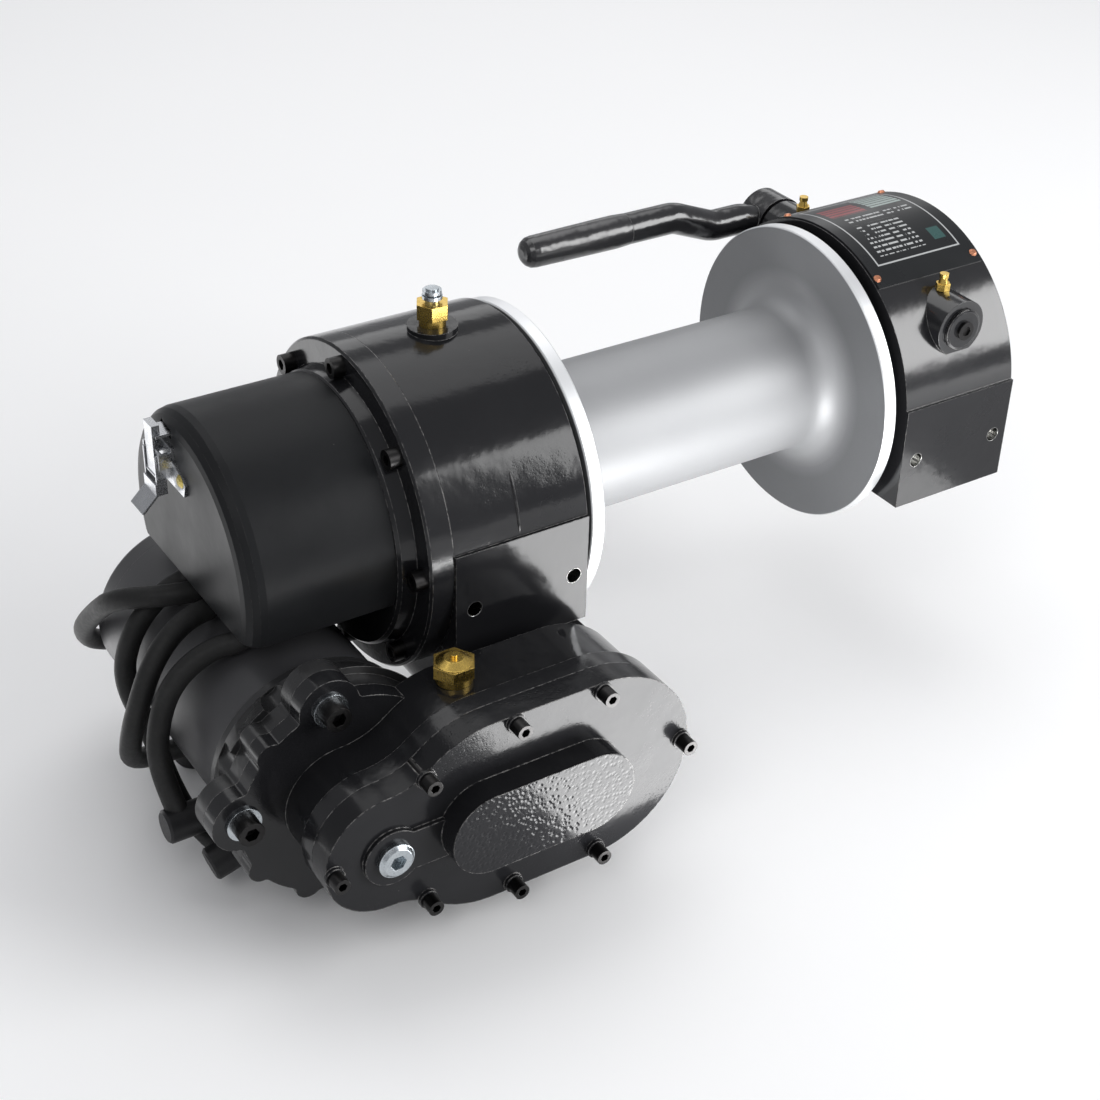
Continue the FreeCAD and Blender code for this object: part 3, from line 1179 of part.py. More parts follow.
def bent_bar(points, radius, bend, across_y):
    """Round bar in an XZ plane along straight runs with filleted corners."""
    spots = [Vector(x, across_y, z) for x, z in points]
    edges, start = [], spots[0]
    for i in range(1, len(spots) - 1):
        before, corner, after = spots[i - 1], spots[i], spots[i + 1]
        u = (before - corner).normalize()
        v = (after - corner).normalize()
        half = u.getAngle(v) / 2
        setback = bend / math.tan(half)
        first, last = corner + u * setback, corner + v * setback
        centre_line = (u + v).normalize()
        middle = corner + centre_line * (bend / math.sin(half) - bend)
        edges.append(Part.makeLine(start, first))
        edges.append(Part.Arc(first, middle, last).toShape())
        start = last
    edges.append(Part.makeLine(start, spots[-1]))
    path = Part.Wire(edges)
    direction = (spots[1] - spots[0]).normalize()
    section = Part.Wire(Part.makeCircle(radius, spots[0], direction))
    return path.makePipeShell([section], True, False)


LEVER_Y = boss_reach.value + 14
GRIP_START, GRIP_END, GRIP_Z = 45.9, -42.0, 83.0
BAR_RADIUS, BAR_BEND, CORE_ROD = 11.4, 28.0, 8.0
LEVER_ROUTE = ((176, 62), (150, 69), (124, 69), (88, GRIP_Z), (GRIP_START + 0.1, GRIP_Z))
lever_bar = shaped("lever_bar", bent_bar(LEVER_ROUTE, BAR_RADIUS, BAR_BEND, LEVER_Y))
lever_core = rod("lever_core", "X", GRIP_END + 6, 60, CORE_ROD, across=(LEVER_Y, GRIP_Z))
keep("clutch_lever", cut(
    "clutch_lever_solid",
    join("clutch_lever_blank", lever_bar, lever_core,
         rod("lever_hub", "Y", boss_reach + 2.2, LEVER_HUB_END, cross_boss + 1,
             across=cross_axis)),
    rod("lever_bore", "Y", boss_reach, LEVER_HUB_END + 1, cross_radius, across=cross_axis)))
grip_body = turned("grip_body", "X", [
    (GRIP_END, 0), (GRIP_END, 3.5), (GRIP_END + 1, 6.5), (GRIP_END + 3, 9), (GRIP_END + 6, 10.8),
    (GRIP_END + 10, 11.4), (GRIP_START - 26, 12), (GRIP_START - 10, 12.1),
    (GRIP_START, BAR_RADIUS + 0.1), (GRIP_START, CORE_ROD), (GRIP_END + 6, CORE_ROD),
    (GRIP_END + 6, 0)],
    across=(LEVER_Y, GRIP_Z))
keep("lever_grip", grip_body)


def grease_fitting(name, y):
    """Hex-bodied nipple on a boss, pointing up."""
    seat = cross_height + cross_boss
    spot = (cross_line, y)
    return join(
        name, rod(name + "_thread", "Z", seat - 6, seat, 3, across=spot),
        hexagon(name + "_hex", "Z", seat, seat + 5, 9, across=spot),
        cone(name + "_neck", "Z", seat + 5, seat + 9, 3.6, 2.4, across=spot),
        rod(name + "_ball", "Z", seat + 9, seat + 12, 3.2, across=spot))


keep("grease_fittings", group("grease_fitting_pair",
                              grease_fitting("grease_fitting_front", -GREASE_Y),
                              grease_fitting("grease_fitting_rear", GREASE_Y)))

# ================================================================ leads from the box to the motor
def lead(name, points):
    """Round cable: straight runs with an arc in each corner as large as its runs allow."""
    spots = [Vector(*p) for p in points]
    edges, start, radii = [], spots[0], []
    for before, corner, after in zip(spots, spots[1:], spots[2:]):
        u, v = before - corner, after - corner
        shorter = min(u.Length, v.Length)
        u.normalize()
        v.normalize()
        half_turn = (math.pi - u.getAngle(v)) / 2
        radius = 0.45 * shorter / math.tan(half_turn)
        radii.append(radius)
        first, last = corner + u * 0.45 * shorter, corner + v * 0.45 * shorter
        inward = (u + v).normalize()
        middle = corner + inward * (radius / math.cos(half_turn) - radius)
        edges.append(Part.LineSegment(start, first).toShape())
        edges.append(Part.Arc(first, middle, last).toShape())
        start = last
    edges.append(Part.LineSegment(start, spots[-1]).toShape())
    path = Part.Wire(edges)
    ring = Part.makeCircle(cable_radius.value, spots[0], (spots[1] - spots[0]).normalize())
    tube = path.makePipeShell([Part.Wire([ring])], True, False)
    expected = math.pi * cable_radius.value ** 2 * path.Length
    print("%s length %.0f, volume %.3f of section x length, radii %s" % (
        name, path.Length, tube.Volume / expected, ", ".join("%.0f" % r for r in radii)))
    return shaped(name + "_tube", tube)


for lead_name, (lead_y, route) in LEADS.items():
    top = [(LEAD_X, lead_y, LEAD_TOP), (LEAD_X, lead_y, LEAD_TURN)]
    keep(lead_name, lead(lead_name, top + route))

# ---------------------------------------------------------------- check and write
doc.recompute()
for item in doc.Objects:
    if "Invalid" in item.State or "Error" in item.State:
        raise RuntimeError("%s did not rebuild: %s" % (item.Name, item.State))
os.makedirs("parts", exist_ok=True)
for node, feature in parts.items():
    shape = feature.Shape
    if shape.isNull() or not shape.isValid() or shape.Volume <= 0:
        raise RuntimeError("%s has no valid solid" % node)
    shape.exportStep(os.path.join("parts", node + ".step"))
    print("%-24s %2d solid(s) %10.0f mm3" % (node, len(shape.Solids), shape.Volume))
print(len(parts), "nodes")
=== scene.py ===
import math

import bmesh
import bpy
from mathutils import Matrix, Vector


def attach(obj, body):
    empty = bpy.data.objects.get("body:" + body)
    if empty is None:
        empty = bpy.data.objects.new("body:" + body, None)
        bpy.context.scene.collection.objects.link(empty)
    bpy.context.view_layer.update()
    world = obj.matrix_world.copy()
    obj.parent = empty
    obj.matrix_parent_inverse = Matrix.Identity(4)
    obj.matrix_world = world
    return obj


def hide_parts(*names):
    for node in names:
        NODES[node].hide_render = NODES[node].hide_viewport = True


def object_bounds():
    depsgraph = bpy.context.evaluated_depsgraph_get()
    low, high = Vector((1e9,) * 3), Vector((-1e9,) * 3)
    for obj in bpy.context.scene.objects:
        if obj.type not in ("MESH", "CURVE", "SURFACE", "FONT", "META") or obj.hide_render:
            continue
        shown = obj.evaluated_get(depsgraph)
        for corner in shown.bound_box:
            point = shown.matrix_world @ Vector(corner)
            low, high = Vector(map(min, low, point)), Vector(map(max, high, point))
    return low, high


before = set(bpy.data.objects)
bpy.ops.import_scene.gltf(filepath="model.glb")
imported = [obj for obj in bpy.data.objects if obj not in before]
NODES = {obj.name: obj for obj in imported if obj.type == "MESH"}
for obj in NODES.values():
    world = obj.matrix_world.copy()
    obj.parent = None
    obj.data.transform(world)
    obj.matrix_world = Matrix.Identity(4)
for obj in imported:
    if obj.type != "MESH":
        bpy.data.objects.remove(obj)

# All lengths are in metres in the part's own frame: X along the drum axis, Z up, and the
# mounting pads facing -Y.
CAD_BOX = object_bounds()

PAD_FACE, PAD_BLEND = -0.109, 0.0002
PAD_CENTRES = {"gear": -0.175, "clutch": 0.1805}
PAD_HOLE_HALF_PITCH = 0.036
PAD_HOLE_HEIGHT = -0.0259
PAD_HOLE_BARE = 0.0053, 0.00515     # radius where the bare thread starts and is full
PAD_FRONT = -0.07, -0.08            # Y past which a hole can only be in the front pad
BOSS_FACE = -0.2158
BOSS_FOOT = -0.2145
BARREL_EDGE, FLANGE_START = 0.060, 0.078
RIM_START, RIM_FULL = 0.1052, 0.1058
GEAR_WALL = 0.1083
PLATE_LEFT, PLATE_RIGHT = 0.1333, 0.2263
PLATE_FRONT, PLATE_BACK = math.radians(64.0), math.radians(126.0)


# ---------------------------------------------------------------- shader helpers
class Surface:
    """A node material written as short sums over the part's own coordinates."""

    def __init__(self, name):
        self.material = bpy.data.materials.new(name)
        self.material.use_nodes = True
        self.tree = self.material.node_tree
        self.shader = self.tree.nodes["Principled BSDF"]
        self.place = self.tree.nodes.new("ShaderNodeTexCoord").outputs["Object"]
        split = self.tree.nodes.new("ShaderNodeSeparateXYZ")
        self.put(split.inputs[0], self.place)
        self.x, self.y, self.z = split.outputs

    def put(self, socket, value):
        """Set a socket to a number or colour, or link another socket into it."""
        if isinstance(value, bpy.types.NodeSocket):
            self.tree.links.new(value, socket)
        elif socket.type == "RGBA":
            socket.default_value = (*value, 1.0)
        else:
            socket.default_value = value

    def set(self, **values):
        """Set inputs of the Principled shader, named with _ for each space."""
        for name, value in values.items():
            self.put(self.shader.inputs[name.replace("_", " ")], value)

    def math(self, operation, *values, clamp=False):
        node = self.tree.nodes.new("ShaderNodeMath")
        node.operation = operation
        node.use_clamp = clamp
        for socket, value in zip(node.inputs, values):
            self.put(socket, value)
        return node.outputs[0]

    def times(self, first, second, clamp=False):
        return self.math("MULTIPLY", first, second, clamp=clamp)

    def plus(self, first, second, clamp=False):
        return self.math("ADD", first, second, clamp=clamp)

    def length(self, first, second):
        """The hypotenuse over two values."""
        return self.math("SQRT", self.plus(self.times(first, first),
                                           self.times(second, second)))

    def noise(self, scale, detail=4.0, rough=0.55, stretch=(1, 1, 1), shift=0.0):
        mapping = self.tree.nodes.new("ShaderNodeMapping")
        mapping.inputs["Scale"].default_value = stretch
        mapping.inputs["Location"].default_value = (shift, shift, shift)
        self.put(mapping.inputs["Vector"], self.place)
        node = self.tree.nodes.new("ShaderNodeTexNoise")
        for name, value in (("Vector", mapping.outputs[0]), ("Scale", scale),
                            ("Detail", detail), ("Roughness", rough)):
            self.put(node.inputs[name], value)
        return node.outputs["Fac"]

    def cells(self, scale):
        """Distance to the nearest of scattered points."""
        node = self.tree.nodes.new("ShaderNodeTexVoronoi")
        self.put(node.inputs["Vector"], self.place)
        self.put(node.inputs["Scale"], scale)
        return node.outputs["Distance"]

    def fit(self, value, low, high, first=0.0, last=1.0):
        """Map low..high onto first..last and hold it there outside."""
        node = self.tree.nodes.new("ShaderNodeMapRange")
        for name, number in (("Value", value), ("From Min", low), ("From Max", high),
                             ("To Min", first), ("To Max", last)):
            self.put(node.inputs[name], number)
        return node.outputs[0]

    def between(self, value, low, high, soft):
        """1 where value lies between the two limits, with soft edges."""
        rise = self.fit(value, low - soft, low + soft)
        fall = self.fit(value, high - soft, high + soft)
        return self.math("SUBTRACT", rise, fall, clamp=True)

    def blend(self, factor, first, second):
        node = self.tree.nodes.new("ShaderNodeMix")
        node.data_type = "RGBA"
        colour_a, colour_b = node.inputs[6], node.inputs[7]
        colour_out = node.outputs[2]
        self.put(node.inputs["Factor"], factor)
        self.put(colour_a, first)
        self.put(colour_b, second)
        return colour_out

    def bump(self, layers, normal):
        """Layers of (height, depth), laid over each other and over a first normal."""
        for height, depth in layers:
            node = self.tree.nodes.new("ShaderNodeBump")
            self.put(node.inputs["Strength"], 1.0)
            self.put(node.inputs["Distance"], depth)
            self.put(node.inputs["Height"], height)
            self.put(node.inputs["Normal"], normal)
            normal = node.outputs[0]
        self.put(self.shader.inputs["Normal"], normal)

    def soft_edge(self, radius):
        node = self.tree.nodes.new("ShaderNodeBevel")
        node.samples = 4
        self.put(node.inputs["Radius"], radius)
        return node.outputs[0]

    def edge_mask(self, rounded):
        """1 on a rounded edge, 0 on flat faces."""
        sharpness = 9.0
        node = self.tree.nodes.new("ShaderNodeVectorMath")
        node.operation = "DOT_PRODUCT"
        flat = self.tree.nodes.new("ShaderNodeNewGeometry").outputs["Normal"]
        self.put(node.inputs[0], rounded)
        self.put(node.inputs[1], flat)
        away = self.math("SUBTRACT", 1.0, node.outputs["Value"])
        return self.times(away, sharpness, clamp=True)


def around_hole(s, pad_centre):
    """Distance in the pad's plane from the nearer of its two tapped holes."""
    from_centre = s.math("ABSOLUTE", s.math("SUBTRACT", s.x, pad_centre))
    return s.length(s.math("SUBTRACT", from_centre, PAD_HOLE_HALF_PITCH),
                    s.math("SUBTRACT", s.z, PAD_HOLE_HEIGHT))


def paint(name, tone, gloss, grain, lumps=0.0, edge=0.0007, wear=0.5,
          wear_tone=(0.32, 0.31, 0.30), shine=0.42, pad=None, pebbled_boss=False):
    """Sprayed paint on a casting: grain, slow lumps, dust and thin rubbed edges.

    grain and lumps are depths, and gloss is the mean roughness. pad names the mounting pad
    that is milled smooth and has bare threads. pebbled_boss roughens the cover's boss.
    """
    pad_shine, pad_grain = 0.19, 0.12
    bare_tone = (0.55, 0.55, 0.54)
    wave_depth, pebble_depth = 0.00012, 0.00022
    dust_strength, mark_roughness = 0.35, 0.3
    s = Surface(name)
    rounded = s.soft_edge(edge)
    cloud = s.noise(9.0, 5.0, 0.6)
    spray = s.noise(620.0, 3.0, 0.6)
    pits = s.fit(s.cells(420.0), 0.06, 0.30)
    patches = s.fit(s.noise(34.0, 3.0, 0.5, shift=3.0), 0.42, 0.62)
    waves = s.noise(70.0, 2.0, 0.5)
    skin = s.times(s.plus(s.times(spray, 0.6), s.times(pits, 0.4)), patches)
    bare = 0.0
    if pad:
        milled = s.fit(s.y, PAD_FACE + PAD_BLEND, PAD_FACE - PAD_BLEND)
        shine = s.fit(milled, 0.0, 1.0, shine, pad_shine)
        skin = s.times(skin, s.fit(milled, 0.0, 1.0, 1.0, pad_grain))
        in_hole = s.fit(around_hole(s, PAD_CENTRES[pad]), *PAD_HOLE_BARE)
        bare = s.times(in_hole, s.fit(s.y, *PAD_FRONT))
    layers = [(skin, grain), (waves, wave_depth + lumps)]
    if pebbled_boss:
        pebbles = s.fit(s.cells(330.0), 0.0, 0.55)
        on_boss = s.fit(s.y, BOSS_FOOT, BOSS_FACE)
        layers.insert(0, (s.times(pebbles, on_boss), pebble_depth))
    s.bump(layers, rounded)
    scuffs = s.fit(s.noise(260.0, 6.0, 0.7, shift=7.0), 0.42, 0.60)
    rubbed = s.times(s.times(s.edge_mask(rounded), scuffs), wear)
    specks = s.fit(s.cells(95.0), 0.035, 0.022)
    dust = s.times(specks, s.fit(cloud, 0.52, 0.62), clamp=True)
    marks = s.math("MAXIMUM", rubbed, s.times(dust, dust_strength))
    lighter = tuple(1.6 * c + 0.004 for c in tone)
    coloured = s.blend(marks, s.blend(cloud, tone, lighter), wear_tone)
    clean_gloss = s.fit(cloud, 0.3, 0.7, gloss * 0.8, gloss * 1.35)
    s.set(Base_Color=s.blend(bare, coloured, bare_tone), Metallic=bare,
          Roughness=s.plus(clean_gloss, s.times(marks, mark_roughness), clamp=True),
          Specular_IOR_Level=shine)
    return s.material


def metal(name, tone, dark, gloss, grain=0.000012, stain=0.35):
    """Bare or plated metal: fine lines, a little tarnish and soft edges."""
    s = Surface(name)
    lines = s.noise(900.0, 3.0, 0.6)
    tarnish = s.fit(s.noise(60.0, 5.0, 0.65, shift=2.0), 0.40, 0.75)
    s.bump([(lines, grain)], s.soft_edge(0.0004))
    s.set(Base_Color=s.blend(s.times(tarnish, stain), tone, dark), Metallic=1.0,
          Roughness=s.plus(s.fit(lines, 0.3, 0.7, gloss * 0.8, gloss * 1.25),
                           s.times(tarnish, 0.12)))
    return s.material


def rubber(name, tone, gloss, scale, depth):
    """Moulded rubber: fine skin, dusty patches."""
    s = Surface(name)
    skin = s.noise(scale, 4.0, 0.6)
    dust = s.fit(s.noise(45.0, 5.0, 0.7), 0.50, 0.80)
    dusty = tuple(1.8 * c + 0.003 for c in tone)
    s.bump([(skin, depth)], s.soft_edge(0.0008))
    s.set(Base_Color=s.blend(dust, tone, dusty),
          Roughness=s.fit(skin, 0.3, 0.7, gloss, gloss + 0.12), Specular_IOR_Level=0.28)
    return s.material


def drum_finish(name):
    """Silver enamel with painted shade darkening the flanges, and turned bright rims."""
    turning = 9000.0
    s = Surface(name)
    radius = s.length(s.y, s.z)
    rim = s.fit(radius, RIM_START, RIM_FULL)
    flakes = s.noise(1500.0, 2.0, 0.6)
    cloud = s.noise(16.0, 4.0, 0.6)
    turned = s.math("SINE", s.times(radius, turning))
    s.bump([(flakes, 0.00002), (s.times(turned, 0.1), 0.00001)], s.soft_edge(0.0008))
    barrel = s.blend(cloud, (0.285, 0.289, 0.297), (0.325, 0.329, 0.337))
    # Painted shade: the barrel's enamel again, made darker on the flange faces that turn away
    # from the light.
    flange_painted_shade = s.blend(cloud, (0.155, 0.159, 0.165), (0.185, 0.189, 0.195))
    # Blends from the barrel tone to the painted-shade flange tone across the flare.
    enamel = s.blend(s.fit(radius, BARREL_EDGE, FLANGE_START), barrel, flange_painted_shade)
    s.set(Base_Color=s.blend(rim, enamel, (0.78, 0.79, 0.80)),
          Metallic=s.fit(rim, 0.0, 1.0, 0.28, 0.80),
          Roughness=s.plus(s.fit(flakes, 0.3, 0.7, 0.46, 0.56), s.times(rim, -0.08)),
          Specular_IOR_Level=0.6)
    return s.material


def plate_finish(name):
    """Anodised label plate: ruled border, rows of dashes and colour fields, no lettering."""
    ruling = 26.0
    black, white = (0.012, 0.013, 0.014), (0.42, 0.43, 0.43)
    grey_green, red, teal = (0.30, 0.36, 0.34), (0.22, 0.035, 0.04), (0.035, 0.085, 0.08)
    s = Surface(name)
    across = s.fit(s.x, PLATE_LEFT, PLATE_RIGHT)
    along = s.fit(s.math("ARCTAN2", s.z, s.y), PLATE_FRONT, PLATE_BACK)

    def field(left, right, front, back):
        """1 inside a rectangle given as shares of the plate."""
        return s.times(s.between(across, left, right, 0.002),
                       s.between(along, front, back, 0.002))

    def stripes(gap):
        """Rows across the plate, with that share of each row left blank."""
        return s.math("GREATER_THAN", s.math("FRACT", s.times(along, ruling)), gap)

    border = s.math("SUBTRACT", field(0.10, 0.90, 0.10, 0.86), field(0.112, 0.888, 0.11, 0.85),
                    clamp=True)
    dashes = s.math("GREATER_THAN", s.noise(420.0, 1.0, 0.5, stretch=(1, 0.08, 0.08)), 0.47)
    columns = s.math("MAXIMUM", field(0.18, 0.62, 0.50, 0.80), field(0.22, 0.84, 0.40, 0.47))
    lines = s.times(s.times(stripes(0.62), dashes), columns)
    ink = s.blend(s.math("MAXIMUM", border, lines), black, white)
    ink = s.blend(s.times(field(0.56, 0.86, 0.13, 0.34), stripes(0.25)), ink, grey_green)
    ink = s.blend(s.times(field(0.16, 0.50, 0.20, 0.36), stripes(0.25)), ink, red)
    ink = s.blend(field(0.73, 0.84, 0.68, 0.78), ink, teal)
    s.bump([(s.noise(700.0, 2.0, 0.5), 0.00001)], s.soft_edge(0.0003))
    s.set(Base_Color=ink, Roughness=s.fit(s.noise(30.0), 0.3, 0.7, 0.24, 0.38),
          Specular_IOR_Level=0.3)
    return s.material


# ---------------------------------------------------------------- finishes of the CAD nodes
BLACK = (0.0065, 0.0066, 0.0075)
COAT = (0.006, 0.006, 0.007)
FINISH = {
    "gloss_black": paint("gloss_black", BLACK, gloss=0.13, grain=0.00006, lumps=0.00006,
                         wear=0.9, shine=0.36),
    "housing_black": paint("housing_black", BLACK, gloss=0.13, grain=0.00008, lumps=0.00006,
                           wear=0.7, shine=0.32, pad="gear"),
    "cover_black": paint("cover_black", BLACK, gloss=0.14, grain=0.00012, lumps=0.00005,
                         edge=0.0010, wear=0.9, shine=0.18, pebbled_boss=True),
    "clutch_black": paint("clutch_black", BLACK, gloss=0.13, grain=0.00003, lumps=0.00006,
                          shine=0.65, pad="clutch"),
    "lever_black": paint("lever_black", COAT, gloss=0.18, grain=0.00003, lumps=0.0006,
                         shine=0.8),
    "grip_rubber": paint("grip_coat", COAT, gloss=0.22, grain=0.00003, lumps=0.0009, shine=0.9),
    "satin_black": paint("satin_black", (0.008, 0.0084, 0.0092), gloss=0.36, grain=0.00002,
                         wear=0.25, shine=0.12),
    "cast_black": paint("cast_black", (0.014, 0.014, 0.0145), gloss=0.26, grain=0.00016,
                        lumps=0.0003, wear=0.9, wear_tone=(0.16, 0.155, 0.15)),
    "motor_paint": paint("motor_paint", (0.028, 0.028, 0.030), gloss=0.42, grain=0.00003,
                         wear=0.3, shine=0.6),
    "silver_paint": drum_finish("drum_silver"),
    "plate_print": plate_finish("plate_print"),
    "machined_steel": metal("machined_steel", (0.60, 0.60, 0.60), (0.32, 0.31, 0.30), 0.26),
    "bearing_steel": metal("bearing_steel", (0.68, 0.69, 0.70), (0.45, 0.45, 0.45), 0.16),
    "black_oxide": metal("black_oxide", (0.035, 0.034, 0.034), (0.012, 0.012, 0.012), 0.34),
    "zinc": metal("zinc", (0.50, 0.535, 0.56), (0.24, 0.27, 0.29), 0.22, stain=0.6),
    "latch_zinc": metal("latch_zinc", (0.52, 0.53, 0.545), (0.30, 0.31, 0.33), 0.24, stain=0.5),
    "yellow_zinc": metal("yellow_zinc", (0.62, 0.50, 0.16), (0.34, 0.28, 0.10), 0.26),
    "brass": metal("brass", (0.72, 0.50, 0.13), (0.36, 0.22, 0.05), 0.24),
    "bronze": metal("bronze", (0.50, 0.31, 0.14), (0.26, 0.15, 0.07), 0.34),
    "copper": metal("copper", (0.78, 0.34, 0.20), (0.40, 0.16, 0.09), 0.28),
    "cast_iron": metal("cast_iron", (0.20, 0.20, 0.20), (0.08, 0.075, 0.07), 0.52,
                       grain=0.00006),
    "carbon": metal("carbon", (0.05, 0.05, 0.052), (0.02, 0.02, 0.02), 0.48),
    "rubber": rubber("rubber", (0.012, 0.012, 0.013), 0.38, scale=500.0, depth=0.00005),
    "cable_sheath": rubber("cable_sheath", (0.010, 0.010, 0.010), 0.50, scale=340.0,
                           depth=0.00008),
}
OWN_FINISH = {"gear_housing": "housing_black", "reduction_cover": "cover_black",
              "clutch_housing": "clutch_black", "clutch_lever": "lever_black",
              "latch_keeper": "latch_zinc", "latch_base": "latch_zinc",
              "latch_lever": "latch_zinc", "latch_loop": "latch_zinc"}

for node, obj in NODES.items():
    slot = obj.data.materials[0].name.split(".")[0]
    obj.data.materials.clear()
    obj.data.materials.append(FINISH[OWN_FINISH.get(node, slot)])


# ---------------------------------------------------------------- motor leads
LEAD_RADIUS = 0.007
LEAD_X = -0.333
LEAD_TOP, LEAD_TURN, LEAD_EXIT = -0.012, -0.037, -0.028
# Each lead: its Y in the control tray, its length, and its route from the tray to its boot.
LEADS = {
    "cable_a": (0.008, 0.226, [(-0.360, 0.010, -0.035), (-0.387, 0.036, -0.043),
                               (-0.389, 0.070, -0.073), (-0.391, 0.099, -0.104),
                               (-0.376, 0.114, -0.129), (-0.351, 0.115, -0.134)]),
    "cable_b": (-0.012, 0.255, [(-0.360, -0.015, -0.036), (-0.386, -0.023, -0.052),
                                (-0.402, -0.027, -0.085), (-0.404, -0.014, -0.118),
                                (-0.397, 0.008, -0.148), (-0.372, 0.030, -0.170),
                                (-0.347, 0.042, -0.181)]),
    "cable_c": (-0.055, 0.172, [(-0.359, -0.044, -0.042), (-0.385, -0.043, -0.060),
                                (-0.399, -0.050, -0.088), (-0.399, -0.052, -0.118),
                                (-0.393, -0.060, -0.147)]),
    "cable_d": (0.028, 0.247, [(-0.359, 0.028, -0.043), (-0.382, 0.027, -0.066),
                               (-0.391, 0.026, -0.100), (-0.382, 0.003, -0.131),
                               (-0.387, -0.024, -0.140), (-0.380, -0.044, -0.170),
                               (-0.370, -0.075, -0.175)]),
}


def lead_piece(name, points):
    """A round lead along a smooth line that keeps inside the corners of its route."""
    curve = bpy.data.curves.new(name + "_line", "CURVE")
    curve.dimensions = "3D"
    curve.bevel_depth = LEAD_RADIUS
    curve.bevel_resolution = 8
    curve.resolution_u = 24
    curve.use_fill_caps = True
    spline = curve.splines.new("NURBS")
    spline.points.add(len(points) - 1)
    for point, spot in zip(spline.points, points):
        point.co = (*spot, 1.0)
    spline.order_u = 3
    spline.use_endpoint_u = True
    curve.materials.append(FINISH["cable_sheath"])
    piece = bpy.data.objects.new("lead_" + name[-1], curve)
    bpy.context.scene.collection.objects.link(piece)
    return piece


for name, (y, length, route) in LEADS.items():
    lead = lead_piece(name, [(LEAD_X, y, LEAD_TOP), (LEAD_X, y, LEAD_TURN)] + route)
    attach(lead, "frame")
    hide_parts(name)


# ---------------------------------------------------------------- cast parting bead
def bead_on_housing(name, x, start, end, half_width, proud):
    """Low rounded bead along an arc of the gear housing's round wall, ends tapered.

    start and end are degrees up from -Y, and the ends sink just into the wall.
    """
    steps = 28
    end_taper, end_sink = 6.0, 0.0002
    wobble_size, wobble_pace = 0.12, 19.0
    section = [(-1.0, -0.3), (-0.8, 0.45), (-0.35, 0.92), (0.35, 0.92), (0.8, 0.45), (1.0, -0.3)]
    wide = len(section)
    verts, faces = [], []
    for i in range(steps + 1):
        share = i / steps
        angle = math.radians(start + (end - start) * share)
        taper = min(1.0, end_taper * share, end_taper * (1.0 - share)) ** 0.5
        wobble = 1.0 + wobble_size * math.sin(wobble_pace * share)
        for side, height in section:
            radius = GEAR_WALL + proud * height * taper * wobble - end_sink * (1.0 - taper)
            verts.append((x + side * half_width * (0.4 + 0.6 * taper),
                          -radius * math.cos(angle), radius * math.sin(angle)))
    for i in range(steps):
        for a in range(i * wide, (i + 1) * wide - 1):
            faces.append((a, a + 1, a + wide + 1, a + wide))
    faces += [tuple(range(wide)), tuple(range(steps * wide, (steps + 1) * wide))]

    mesh = bpy.data.meshes.new(name)
    mesh.from_pydata(verts, [], faces)
    shell = bmesh.new()
    shell.from_mesh(mesh)
    bmesh.ops.recalc_face_normals(shell, faces=shell.faces)
    shell.to_mesh(mesh)
    shell.free()
    mesh.shade_smooth()
    mesh.materials.append(FINISH["gloss_black"])
    piece = bpy.data.objects.new(name, mesh)
    bpy.context.scene.collection.objects.link(piece)
    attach(piece, "frame")


bead_on_housing("parting_rib", x=-0.178, start=9.0, end=30.0, half_width=0.0011, proud=0.0009)


# ---------------------------------------------------------------- floor, light, camera
FLOOR = CAD_BOX[0][2]
FLOOR_GAP = 0.0005
FLOOR_HALF = 9.0
CARD_Z = FLOOR + 0.01

paper = Surface("studio_paper")
paper.set(Base_Color=paper.blend(paper.noise(3.0), (0.93, 0.93, 0.93), (0.916, 0.916, 0.916)),
          Roughness=0.9, Specular_IOR_Level=0.1)
floor_mesh = bpy.data.meshes.new("studio_floor")
grid = bmesh.new()
bmesh.ops.create_grid(grid, x_segments=2, y_segments=2, size=FLOOR_HALF)
grid.to_mesh(floor_mesh)
grid.free()
floor_mesh.materials.append(paper.material)
floor = bpy.data.objects.new("studio_floor", floor_mesh)
floor.location = (0, 0, FLOOR - FLOOR_GAP)
bpy.context.scene.collection.objects.link(floor)


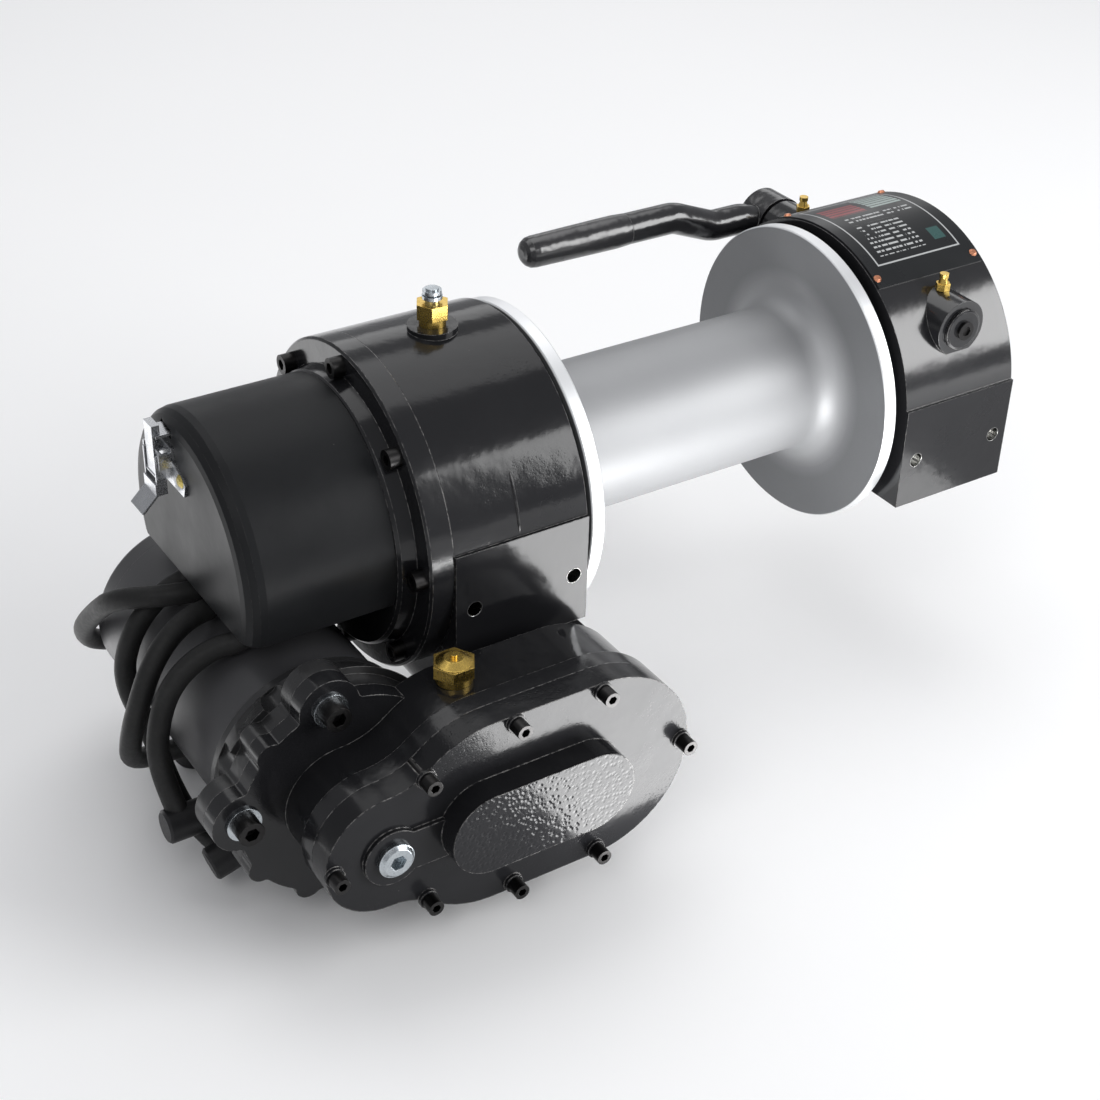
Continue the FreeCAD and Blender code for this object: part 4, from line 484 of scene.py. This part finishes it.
def softbox(name, spot, aim, wide, high, radiance):
    """Area light whose surface has the radiance given, turned towards aim."""
    light = bpy.data.lights.new(name, "AREA")
    light.shape = "RECTANGLE"
    light.size, light.size_y = wide, high
    light.energy = radiance * math.pi * wide * high
    lamp = bpy.data.objects.new(name, light)
    lamp.location = spot
    lamp.rotation_euler = (Vector(aim) - Vector(spot)).to_track_quat("-Z", "Y").to_euler()
    lamp.visible_camera = False
    bpy.context.scene.collection.objects.link(lamp)


def floor_card(name, x, y, wide, high, radiance):
    """Light lying on the floor and facing up, for the painted faces to mirror."""
    softbox(name, (x, y, CARD_Z), (x, y, 1.0), wide, high, radiance)


softbox("top_box", (0.2, 0.9, 2.2), (-0.05, 0.0, 0.0), 2.6, 1.8, 1.5)
softbox("back_box", (1.2, 2.3, 1.1), (0.0, 0.0, 0.0), 2.4, 0.8, 1.2)
softbox("side_box", (1.62, -1.72, 0.96), (0.1, 0.0, 0.0), 1.5, 1.42, 7.8)
softbox("left_fill", (-1.9, -1.4, 2.1), (-0.2, 0.0, 0.0), 1.6, 1.2, 2.6)
floor_card("low_card", -0.03, -0.43, 0.27, 0.38, 16.5)
floor_card("pad_card", 0.29, -0.28, 0.12, 0.10, 6.0)
floor_card("rear_card", -0.56, 0.36, 0.34, 0.56, 1.2)

world = bpy.data.worlds.new("studio_world")
world.use_nodes = True
sky = world.node_tree.nodes["Background"]
sky.inputs["Color"].default_value = (0.95, 0.96, 1.0, 1.0)
sky.inputs["Strength"].default_value = 0.42
bpy.context.scene.world = world

CAMERA_SPOT = (-0.706919, -0.941296, 0.647966)
CAMERA_TILT, CAMERA_ROLL, CAMERA_TURN = 56.936851, -1.380160, -32.549022
camera_data = bpy.data.cameras.new("photo_view")
camera_data.lens = 63.324
camera_data.sensor_width = 36.0
camera_data.clip_end = 50.0
camera = bpy.data.objects.new("photo_view", camera_data)
camera.location = CAMERA_SPOT
camera.rotation_euler = [math.radians(a) for a in (CAMERA_TILT, CAMERA_ROLL, CAMERA_TURN)]
bpy.context.scene.collection.objects.link(camera)
bpy.context.scene.camera = camera
bpy.context.scene.view_settings.view_transform = "Standard"
